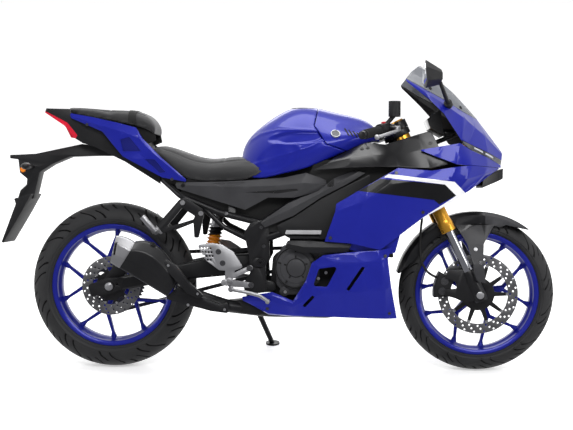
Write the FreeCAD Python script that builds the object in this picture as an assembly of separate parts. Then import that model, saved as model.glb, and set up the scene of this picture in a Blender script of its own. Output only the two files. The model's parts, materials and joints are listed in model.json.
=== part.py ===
import FreeCAD, Part
import math
import os

# A fully faired sport motorcycle of the 250 cc class, parked on its side stand.
# It is drawn upright in its own frame: +X forward, +Y to the rider's left, +Z up, with the
# zero of X midway between the axles and the zero of Z on the road. At the end every piece is
# leaned over together, so that both tyres and the stand's foot meet the floor.
# All sizes are in millimetres and degrees.

V = FreeCAD.Vector

# Driving dimensions of the whole machine
wheelbase = 1380.0
drawn_half_base = 690.0
wheel_shift = wheelbase / 2 - drawn_half_base
rake_deg = 26.0
fork_offset = 38.0
lean_deg = 11.0
origin_ahead_of_middle = 63.4
origin_left_of_track = 171.1

# Wheels and tyres
front_tyre_radius = 293.0
front_tyre_half_width = 55.0
front_crown_radius = 56.0
rear_tyre_radius = 314.0
rear_tyre_half_width = 70.0
rear_crown_radius = 70.0
rim_flange_radius = 232.3
bead_seat_radius = 218.3
rim_barrel_radius = 206.0
front_rim_half_width = 38.1
rear_rim_half_width = 50.8
tyre_wall = 8.0
spoke_count = 5
spoke_fork_radius = 104.0
front_spoke_spread_deg = 21.5
rear_spoke_spread_deg = 19.0
front_disc_radius = 149.0
front_disc_inner_radius = 112.0
front_disc_y = -66.0
rear_disc_radius = 110.0
rear_disc_inner_radius = 70.0
rear_disc_y = -84.0
disc_thickness = 4.5
axle_radius = 9.0
bearing_clearance = 0.3
fit_gap = 0.3
disc_hole_radius = 3.6
front_hub_radius = 34.0
front_hub_low = -63.75
front_hub_high = 44.0
rear_hub_radius = 46.0
rear_hub_low = -81.75
rear_hub_high = 78.5
caliper_gap = 1.8
caliper_outer_y = -104.0

# Fork and steering
fork_spacing = 100.0
fork_outer_radius = 25.5
fork_inner_radius = 18.5
fork_outer_bottom = 262.0
fork_leg_seat = 50.0
fork_leg_bottom = 98.0
fork_foot_radius = 25.0
stem_radius = 14.0
stem_boss_radius = 24.0
head_tube_radius = 27.0
lower_clamp_low = 480.0
lower_clamp_high = 512.0
head_tube_low = 515.0
head_tube_high = 655.0
upper_clamp_low = 658.0
upper_clamp_high = 680.0
clip_on_height = 698.0
clip_below = 17.0
clip_above = 13.0
fork_top = clip_on_height + 18.0
bar_end_x = 250.0
bar_end_y = 325.0
bar_end_z = clip_on_height + 176.0
bar_radius = 11.0
reservoir_x = 366.0
reservoir_y = 178.0
reservoir_low = bar_end_z + 74.0
reservoir_high = bar_end_z + 130.0
fender_gap = 12.0
fender_arm_wall = 5.5
fender_half_width = 66.0
fender_front_deg = 52.0
fender_rear_deg = 166.0
grip_radius = 16.5
grip_length = 120.0

# Body width and panel walls
panel_wall = 3.5
screen_wall = 3.0
screen_gap = 1.5
mask_gap = 1.6
lens_gap = 1.4

# The line where the windscreen meets the cowl, from its rear end to the middle of the nose
screen_line = [
    (410, 127, 1091), (478, 139, 1052), (552, 129, 1013), (625, 81, 974), (676, 30, 953), (690, 0, 950),
]

# Chain line and sprocket
chain_y = 82.0
chain_width = 17.0
chain_plate_thickness = 2.2
chain_roller_radius = 5.08
chain_running_gap = 0.6
sprocket_thickness = 7.0
drive_sprocket_x = -30.0
drive_sprocket_z = 415.0
sprocket_pitch_radius = 108.7
sprocket_tooth_count = 43
drive_sprocket_radius = 38.0
chain_plate_height = 15.0

# Frame, its lugs and the seats of what it carries
spar_y = 140.0
spar_radius = 19.0
pivot_plate_outline = [
    (-118, 566), (-92, 545), (-88, 430), (-104, 398), (-98, 300), (-178, 292),
    (-186, 330), (-160, 372), (-164, 430), (-184, 520), (-160, 556),
]
rail_radius = 12.5
peg_bracket_bolts = ((-406, 634), (-352, 600))
bracket_seat_y = 140.0
engine_lug_x = 130.0
engine_lug_y = 116.0
engine_lug_z = 592.0
tank_seat_z = 760.0
seat_pad_z = 692.0
tail_pad_z = 833.0
radiator_tab_y = 86.0
radiator_side_y = 170.0
cowl_seat_y = 158.0
stay_x = 604.0
stay_z = 890.0
stay_top_z = 902.0
tail_seat_y = 76.0
trim_seat_y = 146.0
cover_seat_y = 132.0
frame_cover_bolt_x = 92.0
frame_cover_bolt_z = 662.0
frame_cover_seat_y = 163.0

# Swingarm and shock absorber
pivot_x = -135.0
pivot_z = 410.0
swingarm_pin_radius = 10.0
rear_spacer_radius = 16.0
axle_plate_inner = 102.0
axle_plate_outer = 124.0
bobbin_x = -660.0
bobbin_z = 322.0
bobbin_radius = 4.0
bobbin_depth = 18.0
shock_top_x = -290.0
shock_top_z = 597.0
shock_tube_radius = 11.0
shock_foot_x = -318.0
shock_foot_z = 440.0
shock_pin_radius = 7.0
spring_radius = 29.0

# Engine, intake and brake hose
case_right_y = -120.0
case_left_y = 60.0
clutch_x = 10.0
clutch_z = 393.0
airbox_half_width = 96.0
inner_panel_y = 162.0
caliper_rim = 19.0
hose_end_deg = 158.0
hose_radius = 4.5

# Tail, side stand and fuel lid
tail_half_width = 76.0
tail_outline = [
    (-940, 982), (-850, 980), (-845, 962), (-760, 934), (-640, 900), (-560, 872), (-536, 800), (-508, 735),
    (-505, 698), (-640, 782), (-752, 836), (-801, 851), (-835, 872), (-870, 916), (-945, 966),
]
stand_pivot_x = -178.0
stand_pivot_y = 152.0
stand_pivot_z = 262.0
stand_eye_half = 8.0
stand_pin_radius = 6.0
stand_foot_x = -95.0
stand_foot_y = 262.0
cap_x = 30.0
cap_z = 984.0
cap_radius = 46.0
cap_plug_radius = 28.0

rake = math.radians(rake_deg)
up_fork = V(-math.sin(rake), 0, math.cos(rake))
ahead_of_fork = V(math.cos(rake), 0, math.sin(rake))
across = V(0, 1, 0)
front_axle = V(wheelbase / 2, 0, front_tyre_radius)
rear_axle = V(-wheelbase / 2, 0, rear_tyre_radius)


# Small tools


def along(x):
    """A drawn x at the real wheelbase: the middle stretches with it, and the ends move with the wheels."""
    middle_half = 380.0
    share = x / middle_half
    if abs(share) > 1:
        share = math.copysign(1.0, x)
    return x + share * wheel_shift


def at(x, y, z):
    """A drawn point of the machine, at its real wheelbase."""
    return V(along(x), y, z)


def mirrored(shape):
    """The same shape on the other side of the machine."""
    return shape.mirror(V(0, 0, 0), V(0, 1, 0))


def both_sides(shape):
    return [shape, mirrored(shape)]


def fused(shapes):
    """One solid out of several that overlap."""
    first = shapes[0]
    if len(shapes) > 1:
        first = first.multiFuse(shapes[1:])
    return first.removeSplitter()


def gathered(shapes):
    """Several solids that stay apart in one piece."""
    solids = []
    for shape in shapes:
        solids += shape.Solids
    return Part.makeCompound(solids)


def rounded_path(points, radii, closed):
    """Edges of a polygon whose corners are rounded with tangent arcs."""
    count = len(points)
    starts, ends, middles = {}, {}, {}
    for i, corner in enumerate(points):
        radius = radii[i] if isinstance(radii, (list, tuple)) else radii
        inner = closed or 0 < i < count - 1
        if radius <= 0 or not inner:
            starts[i] = ends[i] = corner
            continue
        to_last = (points[i - 1] - corner).normalize()
        to_next = (points[(i + 1) % count] - corner).normalize()
        half = to_last.getAngle(to_next) / 2
        if half > math.radians(88):
            starts[i] = ends[i] = corner
            continue
        reach = radius / math.tan(half)
        starts[i] = corner + to_last * reach
        ends[i] = corner + to_next * reach
        bisector = (to_last + to_next).normalize()
        middles[i] = corner + bisector * (radius / math.sin(half) - radius)
    edges = []
    for i in range(count):
        if i in middles:
            edges.append(Part.Arc(starts[i], middles[i], ends[i]).toShape())
        if i < count - 1 or closed:
            following = starts[(i + 1) % count]
            if (following - ends[i]).Length > 1e-6:
                edges.append(Part.LineSegment(ends[i], following).toShape())
    return edges


def side_outline(points, y, radii=0.0):
    """A closed wire seen from the side, from (x, z) points, at one y."""
    return Part.Wire(rounded_path([at(x, y, z) for x, z in points], radii, True))


def side_slab(points, y_low, y_high, radii=0.0):
    """A plate cut to a side outline, from y_low to y_high."""
    face = Part.Face(side_outline(points, y_low, radii))
    return face.extrude(V(0, y_high - y_low, 0))


def lofted(wires, ruled=False):
    return Part.makeLoft(wires, True, ruled)


def rod(start, end, radius, end_radius=None):
    """A round bar, or a cone, between two points."""
    span = end - start
    if end_radius is None or abs(end_radius - radius) < 1e-9:
        return Part.makeCylinder(radius, span.Length, start, span)
    return Part.makeCone(radius, end_radius, span.Length, start, span)


def hollow_rod(start, end, radius, bore):
    return rod(start, end, radius).cut(rod(start, end, bore))


def swept_tube(points, radius, bend):
    """A round tube along straight runs joined by tangent arcs."""
    path = Part.Wire(rounded_path(points, bend, False))
    along = (points[1] - points[0]).normalize()
    ring = Part.Wire(Part.Circle(points[0], along, radius).toShape())
    return path.makePipeShell([ring], True, True)


def turned(profile, centre, axis=across):
    """A turned solid from (radius, offset along the axis) points or ready-made edges."""
    if isinstance(profile[0], tuple):
        corners = [V(0, y, r) for r, y in profile]
        wire = Part.makePolygon(corners + corners[:1])
    else:
        wire = Part.Wire(profile)
    face = Part.Face(wire)
    solid = face.revolve(V(0, 0, 0), V(0, 1, 0), 360)
    turn = FreeCAD.Rotation(V(0, 1, 0), axis)
    solid.Placement = FreeCAD.Placement(centre, turn)
    return solid


def quad_faces(a, b, c, d):
    """One face on four corners, a triangle where two of them meet."""
    corners = []
    for p in (a, b, c, d):
        if not corners or (p - corners[-1]).Length > 1e-6:
            corners.append(p)
    if (corners[0] - corners[-1]).Length < 1e-6:
        corners.pop()
    if len(corners) < 3:
        return []
    normal = (corners[1] - corners[0]).cross(corners[2] - corners[0])
    flat = True
    if len(corners) == 4:
        normal.normalize()
        flat = abs((corners[3] - corners[0]).dot(normal)) < 1e-5
    if flat:
        return [Part.Face(Part.makePolygon(corners + corners[:1]))]
    patch = Part.BSplineSurface()
    poles = [[corners[0], corners[1]], [corners[3], corners[2]]]
    patch.buildFromPolesMultsKnots(poles, [2, 2], [2, 2], [0, 1], [0, 1], False, False, 1, 1)
    return [patch.toShape()]


def point_normals(rows):
    """At each point of a net of rows, the mean direction that its faces point in."""
    normals = []
    last_row, last_column = len(rows) - 1, len(rows[0]) - 1
    for i, row in enumerate(rows):
        line = []
        for j, point in enumerate(row):
            total = V(0, 0, 0)
            for di, dj in ((1, 1), (1, -1), (-1, 1), (-1, -1)):
                if not (0 <= i + di <= last_row and 0 <= j + dj <= last_column):
                    continue
                normal = (rows[i + di][j] - point).cross(rows[i][j + dj] - point) * (di * dj)
                if normal.Length > 1e-6:
                    total += normal.normalize()
            line.append(total.normalize())
        normals.append(line)
    return normals


def shell_panel(rows, wall):
    """A moulded panel: a net of points gives its outer face, and it has one wall all over.
    The rows run from its front or top edge, so that the wall lies behind the outer face."""
    normals = point_normals(rows)
    inner = [[p + n * wall for p, n in zip(row, line)] for row, line in zip(rows, normals)]
    last_row, last_column = len(rows) - 1, len(rows[0]) - 1
    faces = []
    for i in range(last_row):
        for j in range(last_column):
            faces += quad_faces(rows[i][j], rows[i][j + 1], rows[i + 1][j + 1], rows[i + 1][j])
            faces += quad_faces(inner[i][j], inner[i][j + 1], inner[i + 1][j + 1], inner[i + 1][j])
    for i in (0, last_row):
        for j in range(last_column):
            faces += quad_faces(rows[i][j], rows[i][j + 1], inner[i][j + 1], inner[i][j])
    for j in (0, last_column):
        for i in range(last_row):
            faces += quad_faces(rows[i][j], rows[i + 1][j], inner[i + 1][j], inner[i][j])
    return closed_solid(faces)


def with_boss(panel, foot, direction, radius, reach=120.0):
    """The panel with a round boss that runs from a seat at the foot to its inner face."""
    bar = Part.makeCylinder(radius, reach, foot, direction)
    near = min(bar.cut(panel).Solids, key=lambda solid: solid.distToShape(Part.Vertex(foot))[0])
    return panel.fuse(near).removeSplitter()


def closed_solid(faces):
    """A solid from faces that meet edge to edge."""
    sewn = Part.makeCompound(faces)
    sewn.sewShape()
    shell = sewn.Shells[0] if sewn.Shells else Part.Shell(faces)
    solid = Part.makeSolid(shell)
    if solid.Volume < 0:
        solid.reverse()
    return solid


def net(columns):
    """Rows of points from columns of (x, y, z) tuples that run the other way."""
    return [[at(*column[i]) for column in columns] for i in range(len(columns[0]))]


def on_fork(height, ahead=0.0, y=0.0):
    """A point by its height along the fork from the axle, its distance ahead, and its y."""
    return front_axle + up_fork * height + ahead_of_fork * ahead + V(0, y, 0)


# Wheels


def tyre(centre, radius, half_width, crown, rim_half_width):
    """A tubeless tyre: round crown, sidewalls drawn in to the beads, open inside."""
    crown_centre = radius - crown
    widest = math.asin(min(1.0, half_width / crown) * 0.985)
    shoulder = (crown_centre + crown * math.cos(widest), crown * math.sin(widest))
    flange = (rim_flange_radius - 1.5, rim_half_width - fit_gap)
    bead_low = (bead_seat_radius + 0.2, rim_half_width - fit_gap)
    bead_toe = (bead_seat_radius + 0.2, rim_half_width - 15)
    inner_crown = crown - tyre_wall
    inner_shoulder = (crown_centre + 4, half_width - tyre_wall - 2)

    def p(pair, side=1):
        return V(0, pair[1] * side, pair[0])

    def bulge(a, b, amount):
        return ((a[0] + b[0]) / 2 + amount * 0.3, (a[1] + b[1]) / 2 + amount)

    edges = [Part.Arc(p(shoulder, -1), V(0, 0, radius), p(shoulder)).toShape()]
    for side in (1, -1):
        wall_middle = bulge(shoulder, flange, 3.5)
        toe_middle = bulge(bead_toe, inner_shoulder, 3.0)
        edges += [
            Part.Arc(p(shoulder, side), p(wall_middle, side), p(flange, side)).toShape(),
            Part.LineSegment(p(flange, side), p(bead_low, side)).toShape(),
            Part.LineSegment(p(bead_low, side), p(bead_toe, side)).toShape(),
            Part.Arc(p(bead_toe, side), p(toe_middle, side), p(inner_shoulder, side)).toShape(),
        ]
    edges.append(
        Part.Arc(p(inner_shoulder, -1), V(0, 0, crown_centre + inner_crown), p(inner_shoulder)).toShape()
    )
    wire = Part.Wire(Part.__sortEdges__(edges))
    solid = Part.Face(wire).revolve(V(0, 0, 0), V(0, 1, 0), 360)
    solid.translate(centre)
    return solid


def rim_profile(half_width):
    """The rim's section: flanges, bead seats, humps and a dropped middle."""
    outer = [
        (rim_barrel_radius + 3, 0.38 * half_width),
        (bead_seat_radius - 2, 0.6 * half_width),
        (bead_seat_radius, 0.64 * half_width),
        (bead_seat_radius, half_width),
        (rim_flange_radius - 2, half_width),
        (rim_flange_radius, half_width + 2.5),
        (rim_flange_radius - 2, half_width + 5.5),
        (rim_flange_radius - 7, half_width + 5.5),
        (bead_seat_radius - 4.5, half_width + 1),
        (bead_seat_radius - 6.5, 0.62 * half_width),
        (rim_barrel_radius - 2, 0.36 * half_width),
    ]
    return outer + [(r, -y) for r, y in reversed(outer)]


def bevelled_bar(start, end, width, depth, end_width, end_depth):
    """A cast arm between two points in the wheel's plane, with chamfered corners."""
    along = (end - start).normalize()
    over = across.cross(along)
    wires = []
    for middle, w, d in ((start, width, depth), (end, end_width, end_depth)):
        cut = min(w, d) * 0.28
        corners = []
        for sw, sd in ((1, 1), (1, -1), (-1, -1), (-1, 1)):
            along_width = (w / 2 - (cut if sw * sd > 0 else 0), w / 2 - (0 if sw * sd > 0 else cut))
            along_depth = (d / 2 - (0 if sw * sd > 0 else cut), d / 2 - (cut if sw * sd > 0 else 0))
            for aw, ad in zip(along_width, along_depth):
                corners.append(middle + over * (sw * aw) + across * (sd * ad))
        wires.append(Part.makePolygon(corners + corners[:1]))
    return lofted(wires, True)


def cast_wheel(centre, half_width, hub_low, hub_high, hub_radius, spread_deg, first_deg):
    """A cast wheel: rim, hub, and spokes that each fork into two arms."""
    bore = axle_radius + bearing_clearance
    pieces = [turned(rim_profile(half_width), V(0, 0, 0))]
    hub = [
        (bore, hub_low),
        (hub_radius, hub_low),
        (hub_radius, hub_low + 12),
        (hub_radius - 4, -hub_radius / 2),
        (hub_radius - 4, hub_radius / 2),
        (hub_radius, hub_high - 12),
        (hub_radius, hub_high),
        (bore, hub_high),
    ]
    pieces.append(turned(hub, V(0, 0, 0)))

    def spot(radius, degrees):
        angle = math.radians(degrees)
        return V(radius * math.cos(angle), 0, radius * math.sin(angle))

    for i in range(spoke_count):
        middle = first_deg + i * 360.0 / spoke_count
        fork_point = spot(spoke_fork_radius, middle)
        pieces.append(bevelled_bar(spot(hub_radius - 8, middle), fork_point, 34, 50, 24, 30))
        for side in (-1, 1):
            knee = spot(spoke_fork_radius - 6, middle)
            foot = spot(rim_barrel_radius - 22, middle + side * spread_deg * 0.93)
            root = spot(rim_barrel_radius + 1, middle + side * spread_deg)
            pieces.append(bevelled_bar(knee, foot, 15, 28, 10.5, 22))
            pieces.append(bevelled_bar(foot, root, 10.5, 22, 24, 24))
    wheel = fused(pieces)
    bore_cut = Part.makeCylinder(bore, hub_high - hub_low + 2, V(0, hub_low - 1, 0), across)
    wheel = wheel.cut(bore_cut)
    wheel.translate(centre)
    return wheel


def drilled_disc(centre, y, outer, inner, seat_radius, bore, holes_around):
    """A brake disc: a drilled ring, and a carrier that reaches in to its seat on the hub."""
    low, high = y - disc_thickness / 2, y + disc_thickness / 2
    ring = turned([(inner, low), (outer, low), (outer, high), (inner, high)], V(0, 0, 0))
    band = outer - inner
    cuts = []
    for i in range(holes_around):
        for k, share in enumerate((0.22, 0.52, 0.82)):
            radius = inner + share * band
            angle = math.radians(360.0 / holes_around * (i + 0.33 * k))
            spot = V(radius * math.cos(angle), low - 1, radius * math.sin(angle))
            cuts.append(Part.makeCylinder(disc_hole_radius, disc_thickness + 2, spot, across))
    ring = ring.cut(Part.makeCompound(cuts))
    carrier = turned([(bore, low), (seat_radius, low), (seat_radius, high), (bore, high)], V(0, 0, 0))
    arms = []
    for i in range(2 * spoke_count):
        angle = math.radians(180.0 / spoke_count * i)
        out = V(math.cos(angle), 0, math.sin(angle))
        side = across.cross(out)
        half = 5.5
        corners = []
        for radius, s in ((seat_radius - 4, -1.6), (inner + 3, -1), (inner + 3, 1), (seat_radius - 4, 1.6)):
            corners.append(out * radius + side * (half * s) + V(0, low, 0))
        arm = Part.Face(Part.makePolygon(corners + corners[:1])).extrude(V(0, disc_thickness, 0))
        arms.append(arm)
    disc = fused([ring, carrier] + arms)
    disc.translate(centre)
    return disc


def sprocket():
    """The chain wheel: teeth whose tips stop inside the rollers, on a webbed plate."""
    tip = sprocket_pitch_radius - chain_roller_radius - chain_running_gap
    root = tip - 7.0
    points = []
    for i in range(sprocket_tooth_count):
        start = 360.0 / sprocket_tooth_count * i
        step = 360.0 / sprocket_tooth_count
        for share, radius in ((0.0, root), (0.3, tip), (0.5, tip), (0.8, root)):
            angle = math.radians(start + share * step)
            points.append(V(radius * math.cos(angle), 0, radius * math.sin(angle)))
    plate = Part.Face(Part.makePolygon(points + points[:1])).extrude(V(0, sprocket_thickness, 0))
    cuts = [Part.makeCylinder(rear_hub_radius - 8, sprocket_thickness + 2, V(0, -1, 0), across)]
    for i in range(spoke_count):
        angle = math.radians(360.0 / spoke_count * i + 18)
        spot = V(72 * math.cos(angle), -1, 72 * math.sin(angle))
        cuts.append(Part.makeCylinder(17, sprocket_thickness + 2, spot, across))
    plate = plate.cut(Part.makeCompound(cuts))
    plate.translate(rear_axle + V(0, chain_y - sprocket_thickness / 2, 0))
    return plate


def drive_chain():
    """The chain as one fixed loop: a band of links round both chain wheels."""
    front = at(drive_sprocket_x, 0, drive_sprocket_z)
    rear = rear_axle
    r_front, r_rear = drive_sprocket_radius, sprocket_pitch_radius

    def loop(grow):
        span = front - rear
        length = span.Length
        tilt = math.asin((r_rear - r_front) / length)
        base = math.atan2(span.z, span.x)
        edges = []
        spots = []
        for sign in (1, -1):
            angle = base + sign * (math.pi / 2 - tilt)
            normal = V(math.cos(angle), 0, math.sin(angle))
            spots.append((rear + normal * (r_rear + grow), front + normal * (r_front + grow)))
        (rear_top, front_top), (rear_low, front_low) = spots
        along = span * (1.0 / length)
        edges.append(Part.LineSegment(rear_top, front_top).toShape())
        edges.append(Part.Arc(front_top, front + along * (r_front + grow), front_low).toShape())
        edges.append(Part.LineSegment(front_low, rear_low).toShape())
        edges.append(Part.Arc(rear_low, rear - along * (r_rear + grow), rear_top).toShape())
        return Part.Wire(edges)

    half = chain_plate_height / 2
    band = Part.Face(loop(half)).cut(Part.Face(loop(-half)))
    plates = []
    for low in (chain_y - chain_width / 2, chain_y + chain_width / 2 - chain_plate_thickness):
        plate = band.extrude(V(0, chain_plate_thickness, 0))
        plate.translate(V(0, low, 0))
        plates.append(plate)
    core_band = Part.Face(loop(chain_roller_radius)).cut(Part.Face(loop(-chain_roller_radius)))
    core = core_band.extrude(V(0, chain_width, 0))
    core.translate(V(0, chain_y - chain_width / 2, 0))
    return fused(plates + [core])


# Steering, fork and bars


def triple_clamps():
    """The two fork yokes, joined by the stem that turns in the head tube."""
    pieces = []
    for low, high, reach in ((lower_clamp_low, lower_clamp_high, 10), (upper_clamp_low, upper_clamp_high, 7)):
        thick = high - low
        base = on_fork(low)
        for side in (-1, 1):
            centre = base + V(0, side * fork_spacing, 0)
            pieces.append(Part.makeCylinder(fork_outer_radius + reach, thick, centre, up_fork))
        corners = [
            (-fork_offset - stem_boss_radius, -stem_boss_radius * 0.8),
            (-14, -fork_spacing),
            (20, -fork_spacing),
            (2, 0),
            (20, fork_spacing),
            (-14, fork_spacing),
            (-fork_offset - stem_boss_radius, stem_boss_radius * 0.8),
        ]
        points = [base + ahead_of_fork * a + V(0, y, 0) for a, y in corners]
        pieces.append(Part.Face(Part.makePolygon(points + points[:1])).extrude(up_fork * thick))
    stem_low = on_fork(lower_clamp_low, -fork_offset)
    pieces.append(Part.makeCylinder(stem_radius, upper_clamp_high + 8 - lower_clamp_low, stem_low, up_fork))
    clamps = fused(pieces)
    bores = []
    for side in (-1, 1):
        foot = on_fork(lower_clamp_low - 5, 0, side * fork_spacing)
        length = upper_clamp_high - lower_clamp_low + 10
        bores.append(Part.makeCylinder(fork_outer_radius + fit_gap, length, foot, up_fork))
    return clamps.cut(Part.makeCompound(bores))


def fork_outer_tubes():
    tubes = []
    for side in (-1, 1):
        y = side * fork_spacing
        low, high = on_fork(fork_outer_bottom, 0, y), on_fork(fork_top, 0, y)
        tube = rod(low, high, fork_outer_radius)
        collar = rod(low, on_fork(fork_outer_bottom + 34, 0, y), fork_outer_radius + 2.5)
        neck_low = on_fork(fork_outer_bottom + 34, 0, y)
        neck = rod(neck_low, on_fork(fork_outer_bottom + 46, 0, y), fork_outer_radius + 2.5, fork_outer_radius)
        bore_low, bore_high = on_fork(fork_outer_bottom - 1, 0, y), on_fork(fork_top - 14, 0, y)
        bore = rod(bore_low, bore_high, fork_inner_radius + fit_gap)
        tubes.append(fused([tube, collar, neck]).cut(bore))
    return gathered(tubes)


def fork_inner_tubes():
    tubes = []
    for side in (-1, 1):
        y = side * fork_spacing
        tubes.append(rod(on_fork(fork_leg_seat, 0, y), on_fork(fork_top - 120, 0, y), fork_inner_radius))
    return gathered(tubes)


def fork_axle_clamps():
    """The cast feet of the fork legs. The right one also carries the brake caliper."""
    feet = []
    for side in (-1, 1):
        y = side * fork_spacing
        foot = rod(on_fork(-24, 0, y), on_fork(fork_leg_seat + 10, 0, y), fork_foot_radius)
        sleeve = rod(on_fork(fork_leg_seat + 10, 0, y), on_fork(fork_leg_bottom, 0, y), fork_foot_radius, 21.5)
        pieces = [foot, sleeve]
        if side < 0:
            low = -fork_spacing - 12
            outline = [
                (688, 275), (640, 388), (574, 384), (562, 354), (602, 340), (606, 316), (566, 312), (562, 290),
                (600, 280), (640, 262),
            ]
            pieces.append(side_slab(outline, low, caliper_outer_y, 4))
        foot = fused(pieces)
        bore_low, bore_high = on_fork(fork_leg_seat, 0, y), on_fork(fork_leg_bottom + 50, 0, y)
        bore = rod(bore_low, bore_high, fork_inner_radius + fit_gap)
        axle_hole = Part.makeCylinder(axle_radius + fit_gap, 80, front_axle + V(0, y - 40, 0), across)
        feet.append(foot.cut(bore).cut(axle_hole))
    return gathered(feet)


def front_axle_shaft():
    inner = fork_spacing - fork_foot_radius - 1
    shaft_start = front_axle - V(0, fork_spacing + 31, 0)
    shaft = Part.makeCylinder(axle_radius, 2 * fork_spacing + 62, shaft_start, across)
    heads = []
    for side in (-1, 1):
        start = side * (fork_spacing + fork_foot_radius + 1)
        heads.append(Part.makeCylinder(13.5, 8, front_axle + V(0, start, 0), across * side))
    left_gap = inner - front_hub_high - 1
    right_gap = inner + front_hub_low - 1 - disc_thickness
    heads.append(Part.makeCylinder(14, left_gap, front_axle + V(0, front_hub_high + 1, 0), across))
    start_right = front_hub_low - disc_thickness - 1
    heads.append(Part.makeCylinder(14, right_gap, front_axle + V(0, start_right, 0), across * -1))
    return fused([shaft] + heads)


def caliper(centre, disc_y, disc_radius, middle_deg, half_deg, depth_in, inner_y, outer_y):
    """A brake caliper: two cheeks joined over the edge of the disc."""

    def sector(r_low, r_high, y_low, y_high, spread):
        a0, a1 = math.radians(middle_deg - spread), math.radians(middle_deg + spread)
        am = math.radians(middle_deg)

        def p(r, a):
            return V(r * math.cos(a), y_low, r * math.sin(a))

        edges = [
            Part.Arc(p(r_high, a0), p(r_high, am), p(r_high, a1)).toShape(),
            Part.LineSegment(p(r_high, a1), p(r_low, a1)).toShape(),
            Part.Arc(p(r_low, a1), p(r_low, am), p(r_low, a0)).toShape(),
            Part.LineSegment(p(r_low, a0), p(r_high, a0)).toShape(),
        ]
        return Part.Face(Part.Wire(edges)).extrude(V(0, y_high - y_low, 0))

    over = disc_radius + caliper_rim - 14
    body = sector(disc_radius - depth_in, disc_radius + caliper_rim, outer_y, inner_y, half_deg)
    gap_low, gap_high = disc_y - disc_thickness / 2 - caliper_gap, disc_y + disc_thickness / 2 + caliper_gap
    slot = sector(disc_radius - depth_in - 5, over, gap_low, gap_high, half_deg + 5)
    body = body.cut(slot)
    body.translate(centre)
    return body


def rear_caliper():
    """The rear caliper and the plate that carries it on the axle's spacer."""
    body = caliper(rear_axle, rear_disc_y, rear_disc_radius, 68, 16, 36, -62, -100)
    outline = [
        (-722, 330), (-718, 296), (-690, 280), (-662, 296), (-656, 330), (-622, 380), (-640, 412), (-672, 398),
    ]
    plate = side_slab(outline, fit_gap - axle_plate_inner, -95, 6)
    spacer = Part.makeCylinder(rear_spacer_radius + fit_gap, 60, rear_axle - V(0, 130, 0), across)
    return fused([body, plate]).cut(spacer)


def bar_line(side):
    """The clip-on bar's ends: at the fork, and at the hand's outer edge."""
    start = on_fork(clip_on_height, 0, side * fork_spacing)
    end = V(bar_end_x + wheel_shift, side * bar_end_y, bar_end_z)
    return start, end


def clip_on_bars():
    bars = []
    for side in (-1, 1):
        start, end = bar_line(side)
        y = side * fork_spacing
        ring_low = on_fork(clip_on_height - clip_below, 0, y)
        ring_high = on_fork(clip_on_height + clip_above, 0, y)
        ring = rod(ring_low, ring_high, fork_outer_radius + 8)
        bar = rod(start, end, bar_radius)
        weight = rod(end, end + (end - start).normalize() * 16, 14.5)
        bore_low = on_fork(clip_on_height - clip_below - 1, 0, y)
        bore = rod(bore_low, on_fork(fork_top + 30, 0, y), fork_outer_radius + fit_gap)
        bars.append(fused([ring, bar, weight]).cut(bore))
    return gathered(bars)


def hand_grips():
    grips = []
    for side in (-1, 1):
        start, end = bar_line(side)
        along = (end - start).normalize()
        inner = end - along * grip_length
        grip = hollow_rod(inner, end - along * 0.5, grip_radius, bar_radius + 0.2)
        lip = hollow_rod(inner, inner + along * 5, grip_radius + 5, bar_radius + 0.2)
        grips.append(fused([grip, lip]))
    return gathered(grips)


def hand_controls():
    """Switch housings, lever holders with their levers, and the brake fluid reservoir."""
    controls = []
    for side in (-1, 1):
        start, end = bar_line(side)
        along = (end - start).normalize()
        level_ahead = V(along.y, -along.x, 0).normalize() * side
        upward = level_ahead.cross(along) * side
        housing_end = end - along * (grip_length + 1)
        housing = hollow_rod(housing_end - along * 44, housing_end, 23, bar_radius + 0.2)
        clamp_end = housing_end - along * 46
        clamp = hollow_rod(clamp_end - along * 22, clamp_end, 19, bar_radius + 0.2)
        holder = rod(clamp_end - along * 11 + level_ahead * 14, clamp_end - along * 4 + level_ahead * 44, 10)
        pivot = clamp_end - along * 4 + level_ahead * 46
        knee = pivot + along * 45 + level_ahead * 22 - upward * 4
        tip = end - along * 14 + level_ahead * 44 - upward * 12
        lever = fused([
            rod(pivot - upward * 8, pivot + upward * 8, 11),
            rod(pivot, knee, 7.5, 6.5),
            rod(knee, tip, 6.5, 5.5),
            Part.makeSphere(9.5, tip),
        ])
        if side < 0:
            low = V(reservoir_x + wheel_shift, -reservoir_y, reservoir_low)
            high = V(reservoir_x + wheel_shift, -reservoir_y, reservoir_high)
            cup = rod(low, high, 22)
            stem_low = clamp_end - along * 11 + upward * 17
            stem = rod(stem_low, low + V(0, 0, 6), 8)
            controls += [housing, fused([clamp, holder, lever, cup, stem])]
        else:
            controls += [housing, fused([clamp, holder, lever])]
    return gathered(controls)


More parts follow.
